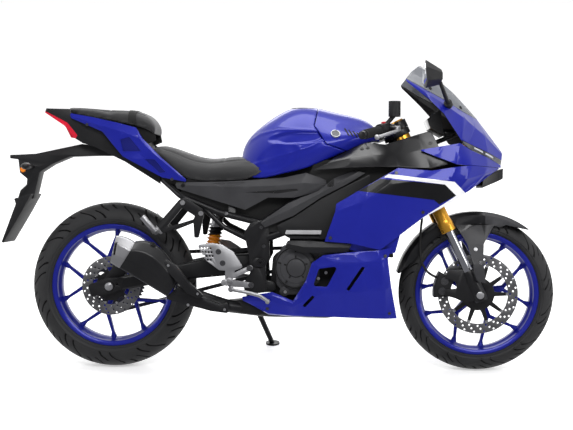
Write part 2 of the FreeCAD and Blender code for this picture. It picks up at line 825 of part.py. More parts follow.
def front_fender():
    """The front mudguard: a hoop over the tyre with arms down to the fork legs."""
    inner_radius = front_tyre_radius + fender_gap
    outer_radius = inner_radius + panel_wall
    a_front, a_rear = math.radians(fender_front_deg), math.radians(fender_rear_deg)
    half = fender_half_width

    def p(r, a, y):
        return V(r * math.cos(a), y, r * math.sin(a))

    def band(r_in, r_out, y_low, y_high, a0, a1):
        mid = (a0 + a1) / 2
        edges = [
            Part.Arc(p(r_out, a0, y_low), p(r_out, mid, y_low), p(r_out, a1, y_low)).toShape(),
            Part.LineSegment(p(r_out, a1, y_low), p(r_in, a1, y_low)).toShape(),
            Part.Arc(p(r_in, a1, y_low), p(r_in, mid, y_low), p(r_in, a0, y_low)).toShape(),
            Part.LineSegment(p(r_in, a0, y_low), p(r_out, a0, y_low)).toShape(),
        ]
        return Part.Face(Part.Wire(edges)).extrude(V(0, y_high - y_low, 0))

    crown = band(inner_radius, outer_radius, -half + 12, half - 12, a_front, a_rear)
    cheeks = []
    for side in (-1, 1):
        profile = [
            V(0, side * (half - 12.5), inner_radius),
            V(0, side * (half - 12.5), outer_radius),
            V(0, side * half, outer_radius - 14),
            V(0, side * half, outer_radius - 46),
            V(0, side * (half - panel_wall), outer_radius - 46),
            V(0, side * (half - panel_wall), inner_radius - 13),
        ]
        face = Part.Face(Part.makePolygon(profile + profile[:1]))
        turn = math.degrees(a_rear - a_front)
        cheek = face.revolve(V(0, 0, 0), V(0, 1, 0), -turn)
        cheek.rotate(V(0, 0, 0), V(0, 1, 0), 90 - math.degrees(a_front))
        cheeks.append(cheek)
    hoop = fused([crown] + cheeks)
    hoop.translate(front_axle)
    front_nip = side_slab(
        [(877, 534), (793, 552), (744, 534), (744, 420), (900, 420), (900, 534)], -half - 5, half + 5)
    rear_nip = side_slab([(390, 360), (467, 434), (520, 400), (480, 330), (390, 340)], -half - 5, half + 5)
    hoop = hoop.cut(front_nip).cut(rear_nip)
    arm = shell_panel(net([
        [(604, 66, 552), (646, 94, 482), (664, 131, 407), (668, 131, 348)],
        [(748, 66, 552), (707, 94, 483), (700, 131, 417), (711, 131, 338)],
    ]), fender_arm_wall)
    return fused([hoop] + both_sides(arm))


# Frame, engine and running gear


def frame():
    """The steel frame: head tube, two spars, pivot plates, cross tubes and seat rails."""
    head_low, head_high = on_fork(head_tube_low, -fork_offset), on_fork(head_tube_high, -fork_offset)
    pieces = [rod(head_low, head_high, head_tube_radius)]
    for side in (-1, 1):
        spine = [
            V(head_low.x - 26, side * 24, head_low.z + 62),
            at(190, side * 128, 735),
            at(20, side * spar_y, 640),
            at(-118, side * spar_y, 548),
        ]
        pieces.append(swept_tube(spine, spar_radius, 60))
        brace = [
            V(head_low.x - 6, side * 20, head_low.z + 14),
            at(236, side * 126, 648),
            at(60, side * spar_y, 560),
            at(-100, side * spar_y, 500),
        ]
        pieces.append(swept_tube(brace, 15, 60))
        low, high = sorted((side * (spar_y - 14), side * (spar_y + 14)))
        pieces.append(side_slab(pivot_plate_outline, low, high, 10))
        rail = [
            at(-105, side * spar_y, 552), at(-280, side * 126, 594), at(-420, side * 112, 652),
            at(-500, side * 56, 718), at(-640, side * 54, 818), at(-760, side * 50, 872),
        ]
        pieces.append(swept_tube(rail, rail_radius, 80))
        strut = [at(-140, side * spar_y, 480), at(-262, side * 126, 540), at(-350, side * 120, 622)]
        pieces.append(swept_tube(strut, 9.5, 50))
        for x, z in peg_bracket_bolts:
            pieces.append(Part.makeCylinder(11, bracket_seat_y - 100, at(x, side * 100, z), across * side))
        low, high = sorted((side * radiator_tab_y, side * (radiator_tab_y + 6)))
        pieces.append(side_slab([(308, 650), (332, 650), (334, 692), (306, 690)], low, high))
        low, high = sorted((side * (trim_seat_y - 6), side * trim_seat_y))
        pieces.append(side_slab([(178, 730), (202, 740), (202, 792), (180, 786)], low, high))
        low, high = sorted((side * (cover_seat_y - 6), side * cover_seat_y))
        pieces.append(side_slab([(-244, 582), (-218, 576), (-218, 672), (-244, 672)], low, high))
        start = at(frame_cover_bolt_x, side * spar_y, frame_cover_bolt_z)
        pieces.append(Part.makeCylinder(7, frame_cover_seat_y - spar_y, start, across * side))
        stay = [at(402, side * 18, 802), at(548, side * 20, 868), at(stay_x, side * 22, stay_z)]
        pieces.append(swept_tube(stay, 9, 40))
        low, high = sorted((side * 112, side * 124))
        pieces.append(side_slab([(-386, 646), (-330, 622), (-338, 588), (-364, 588)], low, high, 4))
    pieces.append(Part.makeCylinder(9, 2 * cowl_seat_y, at(stay_x, -cowl_seat_y, stay_z), across))
    pieces.append(Part.makeBox(52, 52, 16, at(564, -26, stay_top_z - 16)))
    pieces.append(stand_lug())
    for side in (-1, 1):
        start = at(engine_lug_x, side * engine_lug_y, engine_lug_z)
        pieces.append(Part.makeCylinder(11, 134 - engine_lug_y, start, across * side))
        low, high = sorted((side * (spar_y - 12), side * spar_y))
        tab = [(-112, 342), (-112, 298), (-78, 300), (-67, 310), (-67, 330), (-78, 338)]
        pieces.append(side_slab(tab, low, high, 4))
        inner = case_right_y if side < 0 else case_left_y
        pieces.append(Part.makeCylinder(8, spar_y - 6 - abs(inner), at(-77, inner, 320), across * side))
        pieces.append(Part.makeCylinder(10, tank_seat_z - 692, at(110, side * 50, 692), V(0, 0, 1)))
        pieces.append(Part.makeCylinder(12, seat_pad_z - 668, at(-440, side * 40, 668), V(0, 0, 1)))
    pieces.append(Part.makeBox(24, 24, 845 - tail_pad_z, at(-712, -12, tail_pad_z)))
    for x, y, z, radius in (
        (110, 136, 692, 11),
        (-135, spar_y, 540, 16), (-150, spar_y, 306, 14), (shock_top_x, 124, shock_top_z, shock_tube_radius),
        (-440, 98, 668, 10), (-700, 52, 845, 8),
    ):
        pieces.append(Part.makeCylinder(radius, 2 * y, at(x, -y, z), across))
    pieces.append(Part.makeCylinder(12, 2 * 112, at(200, -112, 738), across))
    whole = fused(pieces)
    stem_bore = rod(on_fork(head_tube_low - 2, -fork_offset), on_fork(head_tube_high + 2, -fork_offset),
                    stem_radius + bearing_clearance)
    pivot_hole = Part.makeCylinder(swingarm_pin_radius + fit_gap, 400, at(pivot_x, -200, pivot_z), across)
    return whole.cut(stem_bore).cut(pivot_hole)


def swingarm():
    """The rear fork: two tapered arms, the pivot tube, a cross piece and the axle plates."""
    pieces = []
    for side in (-1, 1):
        wires = []
        for x, z, high, wide, y in (
            (pivot_x, pivot_z, 62, 30, 106),
            (-260, 396, 78, 26, 112),
            (-400, 374, 62, 24, 113),
            (-560, 342, 52, 22, 113),
            (-650, 325, 50, 20, 113),
        ):
            corners = []
            cut = 7
            for sy, sz in ((1, 1), (-1, 1), (-1, -1), (1, -1)):
                inset_y, inset_z = (0, cut) if sy * sz > 0 else (cut, 0)
                first = (sy * (wide / 2 - inset_y), sz * (high / 2 - inset_z))
                second = (sy * (wide / 2 - inset_z), sz * (high / 2 - inset_y))
                corners += [first, second]
            points = [at(x, side * y + a, z + b) for a, b in corners]
            wires.append(Part.makePolygon(points + points[:1]))
        pieces.append(lofted(wires, True))
        plate = [(-640, 348), (-700, 345), (-762, 322), (-768, 312), (-756, 276), (-700, 284), (-640, 302)]
        low, high = sorted((side * axle_plate_inner, side * axle_plate_outer))
        pieces.append(side_slab(plate, low, high, 6))
    pieces.append(Part.makeCylinder(24, 2 * 119, at(pivot_x, -119, pivot_z), across))
    web = [(-168, 434), (-330, 420), (-352, 396), (-330, 366), (-230, 372), (-168, 386)]
    bridge = side_slab(web, -104, 60, 10)
    tyre_room = Part.makeCylinder(rear_tyre_radius + 8, 200, rear_axle - V(0, 100, 0), across)
    pieces.append(bridge.cut(tyre_room))
    for side in (-1, 1):
        low, high = sorted((side * 17, side * 26))
        pieces.append(side_slab([(-346, 418), (-332, 456), (-304, 456), (-288, 424)], low, high, 6))
    pieces.append(Part.makeCylinder(shock_pin_radius, 52, at(shock_foot_x, -26, shock_foot_z), across))
    arm = fused(pieces)
    slot_corner = at(-560, chain_y - chain_width / 2 - 9, 316)
    chain_slot = Part.makeBox(along(-140) - along(-560), chain_width + 18, 190, slot_corner)
    arm = arm.cut(chain_slot.common(Part.makeBox(900, 60, 400, at(-600, 70, 330))))
    for side in (-1, 1):
        mouth = at(bobbin_x, side * axle_plate_outer, bobbin_z)
        arm = arm.cut(Part.makeCylinder(bobbin_radius, bobbin_depth, mouth, across * -side))
    pin_bore = Part.makeCylinder(swingarm_pin_radius + fit_gap, 260, at(pivot_x, -130, pivot_z), across)
    axle_bore = Part.makeCylinder(axle_radius + fit_gap, 300, rear_axle - V(0, 150, 0), across)
    return arm.cut(pin_bore).cut(axle_bore)


def swingarm_pivot():
    pin = Part.makeCylinder(swingarm_pin_radius, 2 * (spar_y + 16), at(pivot_x, -spar_y - 16, pivot_z), across)
    heads = []
    for side in (-1, 1):
        heads.append(Part.makeCylinder(17, 8, at(pivot_x, side * (spar_y + 14), pivot_z), across * side))
    return fused([pin] + heads)


def rear_axle_shaft():
    shaft = Part.makeCylinder(axle_radius, 2 * 140, rear_axle - V(0, 140, 0), across)
    pieces = [shaft]
    for side in (-1, 1):
        pieces.append(Part.makeCylinder(15, 9, rear_axle + V(0, side * axle_plate_outer, 0), across * side))
    left_start = rear_hub_high + 1
    pieces.append(Part.makeCylinder(rear_spacer_radius, axle_plate_inner - left_start,
                                    rear_axle + V(0, left_start, 0), across))
    right_start = rear_hub_low - disc_thickness - 1
    pieces.append(Part.makeCylinder(rear_spacer_radius, axle_plate_inner + right_start,
                                    rear_axle + V(0, right_start, 0), across * -1))
    return fused(pieces)


def engine_block():
    """The two-cylinder engine as one heavy block: crankcase, leaning cylinders and sump."""
    case = side_slab(
        [
            (-88, 300), (-60, 268), (20, 254), (195, 254), (214, 280), (206, 400), (150, 455), (-20, 470),
            (-78, 430),
        ],
        case_right_y, case_left_y, 14)
    left = side_slab([(28, 262), (195, 256), (206, 400), (150, 450), (40, 456)], 60, 122, 12)
    cylinder = side_slab([(28, 450), (190, 430), (216, 560), (226, 626), (96, 658), (66, 560)], -105, 105, 12)
    fins = []
    for i in range(7):
        base = at(38 + 6.2 * i, -112, 468 + 22 * i)
        fin = Part.makeBox(168, 224, 6, base)
        fin.rotate(base, across, 8)
        fins.append(fin)
    pads = []
    for side in (-1, 1):
        start = at(engine_lug_x, side * 98, engine_lug_z)
        pads.append(Part.makeCylinder(14, engine_lug_y - 98, start, across * side))
    return fused([case, left, cylinder] + fins + pads)


def airbox():
    """The intake housing under the tank, with a rim, two stubs to the cylinders and two feet."""
    tub = side_slab([(-184, 698), (-184, 606), (-168, 588), (44, 588), (60, 640), (84, 698)],
                    -airbox_half_width, airbox_half_width, 12)
    rim_half = airbox_half_width + 5
    rim = side_slab([(-188, 688), (88, 688), (88, 696), (-188, 696)], -rim_half, rim_half)
    lid = side_slab([(-180, 692), (84, 692), (84, 714), (40, 730), (-60, 716), (-150, 706), (-180, 702)],
                    -airbox_half_width + 8, airbox_half_width - 8, 3)
    pieces = [tub, rim, lid]
    face_spot, face_turn = at(86.8, 0, 628), V(-0.956, 0, 0.293)
    for side in (-1, 1):
        spot = face_spot + V(0, side * 42, 0)
        pieces.append(rod(spot + face_turn * fit_gap, spot + face_turn * 50, 16))
        pieces.append(rod(at(-135, side * 60, 556 + fit_gap), at(-135, side * 60, 596), 9))
    return fused(pieces)


def inner_panels():
    """The dark walls between the frame covers and the side fairings, each with two air blades."""
    outline = [(-62, 548), (0, 578), (100, 646), (200, 698), (280, 738), (280, 600), (240, 520), (150, 498),
               (-10, 498), (-50, 520)]
    wall = side_slab(outline, inner_panel_y, inner_panel_y + 3, 5)
    bar = side_slab([(-31, 517), (100, 517), (103, 531), (-27, 531)], inner_panel_y, inner_panel_y + 25, 2)
    blade = side_slab([(-12, 500), (96, 500), (92, 508), (-18, 508)], inner_panel_y, inner_panel_y + 30, 1)
    left = with_boss(fused([wall, bar, blade]), at(-20, 155.0 + fit_gap, 530), across, 7)
    return gathered(both_sides(left))


def front_brake_hose():
    """The hose from the lower fork clamp down behind the right leg to the caliper."""
    caliper_top = front_disc_radius + caliper_rim + fit_gap
    fitting = V(math.cos(math.radians(hose_end_deg)), 0, math.sin(math.radians(hose_end_deg)))
    route = [
        on_fork(lower_clamp_low - fit_gap, -34, -84), on_fork(lower_clamp_low - 40, -37, -84),
        at(482, -86, 610),
        at(472, -88, 530), at(470, -90, 462), at(474, -91, 415), at(494, -92, 379),
        front_axle + fitting * (caliper_top + 19) + V(0, -92, 0),
        front_axle + fitting * caliper_top + V(0, -92, 0),
    ]
    radii = [0.0]
    for before, corner, after in zip(route, route[1:], route[2:]):
        half_turn = (corner - before).getAngle(after - corner) / 2
        radii.append(0.45 * min((corner - before).Length, (after - corner).Length) / math.tan(half_turn))
    return swept_tube(route, hose_radius, radii + [0.0])


def engine_covers():
    """The round clutch cover on the right and the generator cover on the left."""
    centre = at(clutch_x, 0, clutch_z)
    profile = [
        (0, -121), (78, -121), (78, -160), (70, -172), (58, -176),
        (56, -180), (34, -181), (31, -186), (0, -186),
    ]
    right = turned(profile, centre)
    flank = side_slab(
        [(-62, 330), (-30, 292), (40, 292), (96, 340), (96, 440), (60, 474), (-40, 474), (-66, 420)],
        -150, -121, 16)
    boss = Part.makeCylinder(17, 34, at(-34, -155, 303), across)
    left_profile = [(0, 123), (72, 123), (72, 150), (62, 164), (30, 168), (26, 172), (0, 172)]
    left = turned(left_profile, at(118, 0, 345))
    return gathered([fused([right, flank, boss]), left])


def radiator():
    core = side_slab([(332, 440), (364, 436), (330, 632), (298, 632)], -150, 150, 3)
    tanks = []
    for side in (-1, 1):
        low, high = sorted((side * 150, side * radiator_side_y))
        tanks.append(side_slab([(328, 436), (368, 432), (334, 636), (294, 636)], low, high, 6))
        low, high = sorted((side * (radiator_tab_y - 10), side * radiator_tab_y))
        tanks.append(side_slab([(306, 626), (326, 626), (330, 668), (310, 668)], low, high, 4))
    return fused([core] + tanks)


def exhaust_pipe():
    """The collector under the engine and the pipe that rises to the silencer."""
    run = [at(262, -40, 236), at(120, -40, 218), at(-110, -52, 222), at(-250, -140, 248), at(-432, -190, 314)]
    pipe = swept_tube(run, 24, 110)
    down = []
    for side in (-1, 1):
        path = [
            at(206, side * 45, 585), at(296, side * 45, 500), at(296, side * 38 - 4, 330),
            at(250, side * 12 - 34, 238),
        ]
        down.append(swept_tube(path, 17, 60))
    rear_cover = side_slab(
        [(-472, 278), (-300, 234), (-236, 226), (-236, 264), (-272, 260), (-350, 288), (-416, 326)],
        -204, -100, 8)
    front_cover = side_slab(
        [(-250, 228), (-127, 212), (-108, 224), (-125, 256), (-191, 268), (-250, 262)], -130, -36, 8)
    whole = fused([pipe, rear_cover, front_cover] + down).cut(engine_block()).cut(silencer())
    return max(whole.Solids, key=lambda solid: solid.Volume)


def silencer_section(along_share, up, wide, skew=0.0):
    """One closed section of the silencer, standing on its lower line, its top set back by a skew."""
    start, end = at(-464, -190, 284), at(-640, -222, 393)
    along = (end - start).normalize()
    over = across.cross(along).normalize()
    out = along.cross(over).normalize()
    if out.y > 0:
        out = out * -1
    centre = start + (end - start) * along_share + over * up
    shape = [(-0.55, 0.95), (0.35, 1.0), (0.95, 0.45), (1.0, -0.25), (0.6, -0.92), (-0.5, -1.0), (-1.0, -0.4),
             (-1.0, 0.5)]
    return [centre + out * (a * wide) + over * (b * up) + along * (b * skew) for a, b in shape]


def silencer():
    """The silencer's body, fullest behind its middle, with a heat shield on its outer side."""
    wires = []
    for share, up, wide in ((0.0, 37, 30), (0.16, 54, 43), (0.42, 68, 51), (0.66, 72, 53), (0.97, 58, 51)):
        corner = 12 if share < 0.1 else 16
        wires.append(Part.Wire(rounded_path(silencer_section(share, up, wide), corner, True)))
    shield = side_slab(
        [(-476, 408), (-458, 422), (-424, 402), (-372, 336), (-318, 288), (-346, 286), (-384, 302),
         (-440, 364)], -240, -214, 5)
    return fused([lofted(wires), shield])


def silencer_end_cap():
    """The bright end cap, cut off at a slant, with a tall outlet."""
    wires = []
    for share, up, wide, skew in ((0.97, 56, 49, 0), (1.12, 55, 45, 9), (1.228, 49, 36, 17)):
        wires.append(Part.Wire(rounded_path(silencer_section(share, up, wide, skew), 12, True)))
    cap = lofted(wires)
    hollow = []
    for share, skew in ((1.08, 9), (1.3, 17)):
        hollow.append(Part.Wire(rounded_path(silencer_section(share, 32, 15, skew * 0.6), 5, True)))
    return cap.cut(lofted(hollow))


def rear_shock():
    """The rear damper with its spring, between the frame's cross tube and the swingarm's pin."""
    top, low = at(shock_top_x, 0, shock_top_z), at(shock_foot_x, 0, shock_foot_z)
    along = (low - top).normalize()
    reach = (low - top).Length
    body = [
        rod(top + along * 8, top + along * 52, 21), rod(top + along * 52, top + along * 60, spring_radius),
        rod(top + along * 50, low - along * 24, spring_radius - 8), rod(low - along * 26, low, 12),
        rod(low - along * 30, low - along * 22, spring_radius),
    ]
    coil_start = 62.0
    turns = 5
    pitch = (reach - 30 - coil_start) / turns
    for i in range(turns):
        middle = coil_start + pitch * (i + 0.5)
        body.append(rod(top + along * (middle - 4.5), top + along * middle, spring_radius - 7, spring_radius))
        body.append(rod(top + along * middle, top + along * (middle + 4.5), spring_radius, spring_radius - 7))
    for spot in (top, low):
        body.append(Part.makeCylinder(16, 30, spot - V(0, 15, 0), across))
    whole = fused(body)
    top_bore = Part.makeCylinder(shock_tube_radius + fit_gap, 60, top - V(0, 30, 0), across)
    low_bore = Part.makeCylinder(shock_pin_radius + fit_gap, 60, low - V(0, 30, 0), across)
    return whole.cut(top_bore).cut(low_bore)


# Bodywork


def tank_sections(grow):
    """Sections of the tank from its tail to its nose, each as a half profile."""
    stations = (
        (-200, 815, 40, 800, 66, 775, 72, 745),
        (-168, 882, 62, 850, 104, 790, 140, 728),
        (-120, 926, 84, 888, 134, 800, 152, 722),
        (-60, 967, 104, 915, 158, 822, 156, 734),
        (15, 995, 112, 936, 168, 842, 156, 752),
        (90, 989, 112, 930, 166, 850, 150, 778),
        (170, 970, 100, 920, 150, 866, 134, 814),
        (250, 950, 76, 916, 112, 888, 104, 850),
        (318, 890, 40, 880, 52, 872, 46, 862),
    )
    wires = []
    for x, top, sy, sz, wy, wz, ey, ez in stations:
        profile = [(0, top), (sy * 0.55, top - (top - sz) * 0.25), (sy, sz), (wy, wz), (ey, ez), (0, ez - 6)]
        profile = [(y + (grow if y > 0 else 0), z + (grow if i < 3 else (-grow if i > 3 else 0)))
                   for i, (y, z) in enumerate(profile)]
        corners = [at(x, y, z) for y, z in profile]
        right = [at(x, -y, z) for y, z in reversed(profile[1:-1])]
        upper = Part.BSplineCurve()
        upper.interpolate(Points=right + corners[:5])
        floor_line = Part.LineSegment(corners[4], right[0])
        wires.append(Part.Wire([upper.toShape(), floor_line.toShape()]))
    return wires


def tank_form(grow=0.0):
    return lofted(tank_sections(grow))


def tank_split_slab(gap):
    """The region ahead of the seam between the tank and its front cover."""
    outline = [
        (100 + gap, 1050), (74 + gap, 917), (118 + gap, 850), (200, 822 + gap), (420, 822 + gap), (420, 1050),
    ]
    return side_slab(outline, -260, 260)


def seat_form(stations):
    """A cushion from stations of x, top, half width and bottom."""
    wires = []
    for x, top, half, bottom in stations:
        middle = bottom + (top - bottom) * 0.45
        points = [
            at(x, 0, top), at(x, half * 0.6, top - (top - bottom) * 0.06),
            at(x, half * 0.95, middle + (top - middle) * 0.35), at(x, half, bottom),
            at(x, -half, bottom), at(x, -half * 0.95, middle + (top - middle) * 0.35),
            at(x, -half * 0.6, top - (top - bottom) * 0.06),
        ]
        upper = Part.BSplineCurve()
        upper.interpolate(Points=[points[4], points[5], points[6], points[0], points[1], points[2], points[3]])
        floor_line = Part.LineSegment(points[3], points[4])
        wires.append(Part.Wire([upper.toShape(), floor_line.toShape()]))
    return lofted(wires)


def rider_seat():
    form = seat_form((
        (-538, 838, 88, 812),
        (-480, 838, 112, 768),
        (-400, 812, 126, 722),
        (-307, 792, 138, 712),
        (-220, 800, 146, 714),
        (-150, 795, 150, 726),
        (-100, 778, 152, 764),
    ))
    cushion = form.cut(tank_form(2.0)).Solids[0]
    for side in (-1, 1):
        cushion = with_boss(cushion, at(-440, side * 40, seat_pad_z), V(0, 0, 1), 11)
    return cushion


def pillion_seat():
    return seat_form((
        (-866, 986, 40, 966),
        (-800, 983, 72, 955),
        (-700, 976, 96, 938),
        (-600, 970, 104, 918),
        (-548, 950, 100, 900),
        (-524, 915, 92, 880),
    ))


def tail_side_panels():
    """The coloured panels on both sides of the tail."""
    columns = [
        [(-845, 84, 963), (-846, 88, 955), (-842, 90, 945)],
        [(-760, 98, 948), (-760, 108, 925), (-720, 106, 893)],
        [(-660, 108, 926), (-640, 121, 892), (-668, 120, 832)],
        [(-592, 113, 908), (-580, 124, 870), (-640, 124, 800)],
        [(-568, 112, 868), (-545, 126, 830), (-560, 126, 758)],
        [(-500, 120, 800), (-480, 132, 775), (-490, 128, 722)],
        [(-402, 132, 716), (-402, 134, 712), (-404, 132, 707)],
    ]
    left = with_boss(shell_panel(net(columns), panel_wall), at(-650, tail_seat_y, 868), across, 8)
    return gathered(both_sides(left))


def tail_core():
    """The dark rear of the tail: a hollow shell, open in front, that carries the lamp."""
    wall_half = tail_half_width - panel_wall
    solid = side_slab(tail_outline, -tail_half_width, tail_half_width)
    inner = Part.Face(side_outline(tail_outline, -wall_half)).makeOffset2D(-panel_wall)
    hollow = inner.extrude(V(0, 2 * wall_half, 0))
    mouth = side_slab([(-545, 800), (-518, 690), (-440, 640), (-440, 820)], -wall_half, wall_half)
    shell = solid.cut(hollow).cut(mouth).cut(tail_lamp()).cut(pillion_seat())
    return with_boss(shell, at(-700, 0, tail_pad_z), V(0, 0, -1), 9, 60)


def tail_lamp():
    return side_slab([(-946, 966), (-872, 917), (-849, 872), (-836, 872), (-868, 930), (-940, 980)], -62, 62, 0)


def plate_hanger():
    """The bracket behind the wheel: an arm, the signal stalks and the lower splash guard."""
    arm = side_slab([
        (-690, 806), (-760, 842), (-812, 850), (-990, 812), (-1061, 808), (-1090, 807), (-1090, 794),
        (-1058, 790), (-1052, 740), (-1024, 716), (-1026, 694), (-1050, 672), (-1060, 640),
        (-1000, 640), (-976, 742), (-930, 772), (-860, 802), (-760, 806),
    ], -34, 34, 3)
    guard = side_slab(
        [(-1062, 640), (-1056, 620), (-1110, 476), (-1104, 472), (-1034, 590), (-996, 660)], -78, 78, 2)
    stalks = Part.makeCylinder(7, 2 * 118, at(-1002, -118, 762), across)
    pods = []
    for side in (-1, 1):
        pod = Part.makeSphere(17, V(0, 0, 0))
        stretch = FreeCAD.Matrix()
        stretch.A11, stretch.A22, stretch.A33 = 1.1, 2.0, 0.8
        pod = pod.transformGeometry(stretch)
        pod.translate(at(-1002, side * 128, 762))
        pods.append(pod)
    solid_tail = side_slab(tail_outline, -tail_half_width, tail_half_width)
    return fused([arm, guard, stalks] + pods).cut(solid_tail)


def side_covers():
    columns = [
        [(-440, 126, 704), (-441, 130, 694), (-436, 128, 682)],
        [(-272, 140, 708), (-272, 148, 690), (-272, 142, 632)],
        [(-160, 150, 714), (-170, 158, 690), (-180, 150, 604)],
        [(-40, 155, 724), (-60, 166, 695), (-95, 158, 650)],
        [(44, 157, 742), (30, 170, 705), (0, 166, 650)],
        [(118, 150, 718), (120, 168, 700), (120, 164, 682)],
    ]
    left = with_boss(shell_panel(net(columns), panel_wall), at(-231, cover_seat_y, 654), across, 7)
    return gathered(both_sides(left))


def frame_covers():
    columns = [
        [(-112, 167, 566), (-120, 171, 556), (-106, 167, 540)],
        [(-20, 174, 630), (-10, 180, 610), (0, 174, 584)],
        [(90, 175, 676), (92, 182, 664), (100, 176, 652)],
        [(150, 169, 724), (172, 178, 712), (200, 174, 704)],
        [(225, 150, 752), (240, 165, 748), (262, 162, 742)],
    ]
    seat = at(frame_cover_bolt_x, frame_cover_seat_y, frame_cover_bolt_z)
    left = with_boss(shell_panel(net(columns), panel_wall), seat, across, 7)
    return gathered(both_sides(left))


def upper_trim():
    """The dark panels between the tank, the nose and the side fairings."""
    columns = [
        [(150, 150, 800), (120, 172, 775), (70, 178, 752)],
        [(215, 126, 833), (210, 165, 798), (200, 190, 762)],
        [(262, 114, 856), (285, 166, 808), (300, 198, 766)],
        [(335, 148, 848), (370, 172, 808), (380, 199, 766)],
        [(450, 158, 884), (470, 180, 828), (500, 198, 760)],
        [(500, 166, 898), (530, 182, 835), (560, 196, 775)],
    ]
    left = with_boss(shell_panel(net(columns), panel_wall), at(191, trim_seat_y, 778), across, 7)
    return gathered(both_sides(left))


def upper_cowl():
    columns = [
        [screen_line[0], (411, 132, 1086), (414, 134, 1079)],
        [screen_line[1], (482, 158, 1038), (490, 172, 1014)],
        [screen_line[2], (556, 160, 990), (545, 190, 958)],
        [screen_line[3], (628, 136, 944), (606, 190, 866)],
        [screen_line[4], (668, 104, 914), (642, 153, 852)],
        [screen_line[5], (710, 76, 884), (715, 101, 824)],
        [(783, 0, 828), (784, 14, 818), (780, 26, 796)],
    ]
    left = with_boss(shell_panel(net(columns), panel_wall), at(stay_x, cowl_seat_y, stay_z), across, 9)
    return fused(both_sides(left))


def windscreen():
    edge = [(x, y - screen_gap / 2, z + screen_gap) for x, y, z in screen_line]
    last = edge[4]
    front = edge[5]
    rows = [
        [edge[0], (432, 99, 1120), (462, 56, 1146), (474, 0, 1154)],
        [edge[1], (498, 108, 1082), (522, 60, 1106), (530, 0, 1113)],
        [edge[2], (573, 92, 1034), (594, 48, 1046), (600, 0, 1047)],
        [edge[3], (634, 58, 988), (645, 30, 995), (650, 0, 996)],
        [last] + [tuple(a + (b - a) * share for a, b in zip(last, front)) for share in (0.33, 0.67)] + [
            (front[0], 0, front[2])],
    ]
    points = [[at(*p) for p in row] + [V(p[0], -p[1], p[2]) for p in reversed(row[:-1])] for row in rows]
    return shell_panel(points, screen_wall)


def nose_mask():
    columns = [
        [(461, 193, 827), (463, 195, 824)],
        [(535, 196, 840), (520, 204, 801)],
        [(604, 190, 852), (590, 208, 775)],
        [(648, 153, 828), (640, 192, 771 + mask_gap)],
        [(714, 103, 804), (712, 121, 768 + mask_gap)],
        [(777, 27, 776), (777, 28, 765 + mask_gap)],
    ]
    left = shell_panel(net(columns), panel_wall)
    return gathered(both_sides(left))


def headlamps():
    columns = [
        [(614, 181, 862 - lens_gap), (616, 179, 850 + lens_gap)],
        [(642, 153, 852 - lens_gap), (648, 153, 828 + lens_gap)],
        [(715, 101, 824 - lens_gap), (714, 103, 804 + lens_gap)],
        [(780, 26, 796 - lens_gap), (777, 27, 776 + lens_gap)],
    ]
    left = shell_panel(net(columns), 9)
    return gathered(both_sides(left))


def side_fairings():
    columns = [
        [(156, 206, 629), (152, 212, 600), (114, 210, 492)],
        [(270, 212, 697), (258, 224, 640), (214, 214, 485)],
        [(378, 212, 760), (345, 226, 700), (316, 208, 462)],
        [(500, 212, 751), (460, 227, 716), (392, 202, 520)],
        [(588, 209, 765), (570, 222, 716), (468, 197, 578)],
        [(640, 192, 771), (630, 202, 722), (560, 193, 628)],
        [(712, 121, 768), (704, 132, 742), (640, 180, 680)],
        [(770, 34, 765), (766, 36, 760), (712, 112, 732)],
    ]
    left = with_boss(shell_panel(net(columns), panel_wall), at(326, radiator_side_y, 560), across, 9)
    return gathered(both_sides(left))


def side_slats():
    """Dark air guides between the side fairing and the belly fairing."""
    columns = [
        [(-20, 196, 494), (-26, 214, 484), (-28, 206, 468)],
        [(60, 206, 494), (40, 228, 472), (36, 214, 449)],
        [(212, 208, 483), (206, 222, 470), (196, 202.4, 452.3)],
    ]
    left = shell_panel(net(columns), panel_wall)
    return gathered(both_sides(left))


def belly_fairing():
    columns = [
        [(-189, 150, 283), (-189, 153, 277), (-186, 152, 268), (-162, 146, 256), (-154, 139, 252)],
        [(-77, 172, 303), (-76, 177, 290), (-76, 174, 268), (-92, 152, 222), (-92, 138, 216)],
        [(0, 182, 272), (0, 187, 262), (0, 184, 250), (0, 150, 213), (0, 100, 204)],
        [(46, 188, 345), (56, 194, 322), (60, 194, 284), (60, 152, 212), (60, 86, 204)],
        [(68, 192, 412), (92, 200, 398), (110, 202, 300), (120, 156, 212), (120, 88, 205)],
        [(110, 196, 441), (160, 208, 410), (190, 210, 305), (200, 156, 209), (200, 88, 204)],
        [(213, 203, 454), (250, 214, 415), (270, 212, 310), (280, 150, 206), (280, 86, 202)],
        [(306, 207, 460), (320, 212, 425), (334, 204, 320), (345, 140, 204), (345, 82, 200)],
        [(358, 200, 470), (345, 196, 430), (358, 186, 330), (384, 122, 204), (384, 78, 200)],
    ]
    left = shell_panel(net(columns), panel_wall)
    window = side_slab([(94, 392), (163, 402), (124, 326), (73, 328)], 150, 260, 8)
    slot_high = side_slab([(250, 402), (262, 398), (204, 312), (194, 318)], 150, 260, 3)
    slot_low = side_slab([(70, 294), (80, 288), (44, 248), (34, 254)], 150, 260, 3)
    left = with_boss(left.cut(window).cut(slot_high).cut(slot_low), at(336, radiator_side_y, 452), across, 7)
    right = mirrored(left)
    stand_room = Part.makeBox(160, 200, 200, at(stand_pivot_x - 60, 60, 180))
    return gathered([left.cut(stand_room), right])


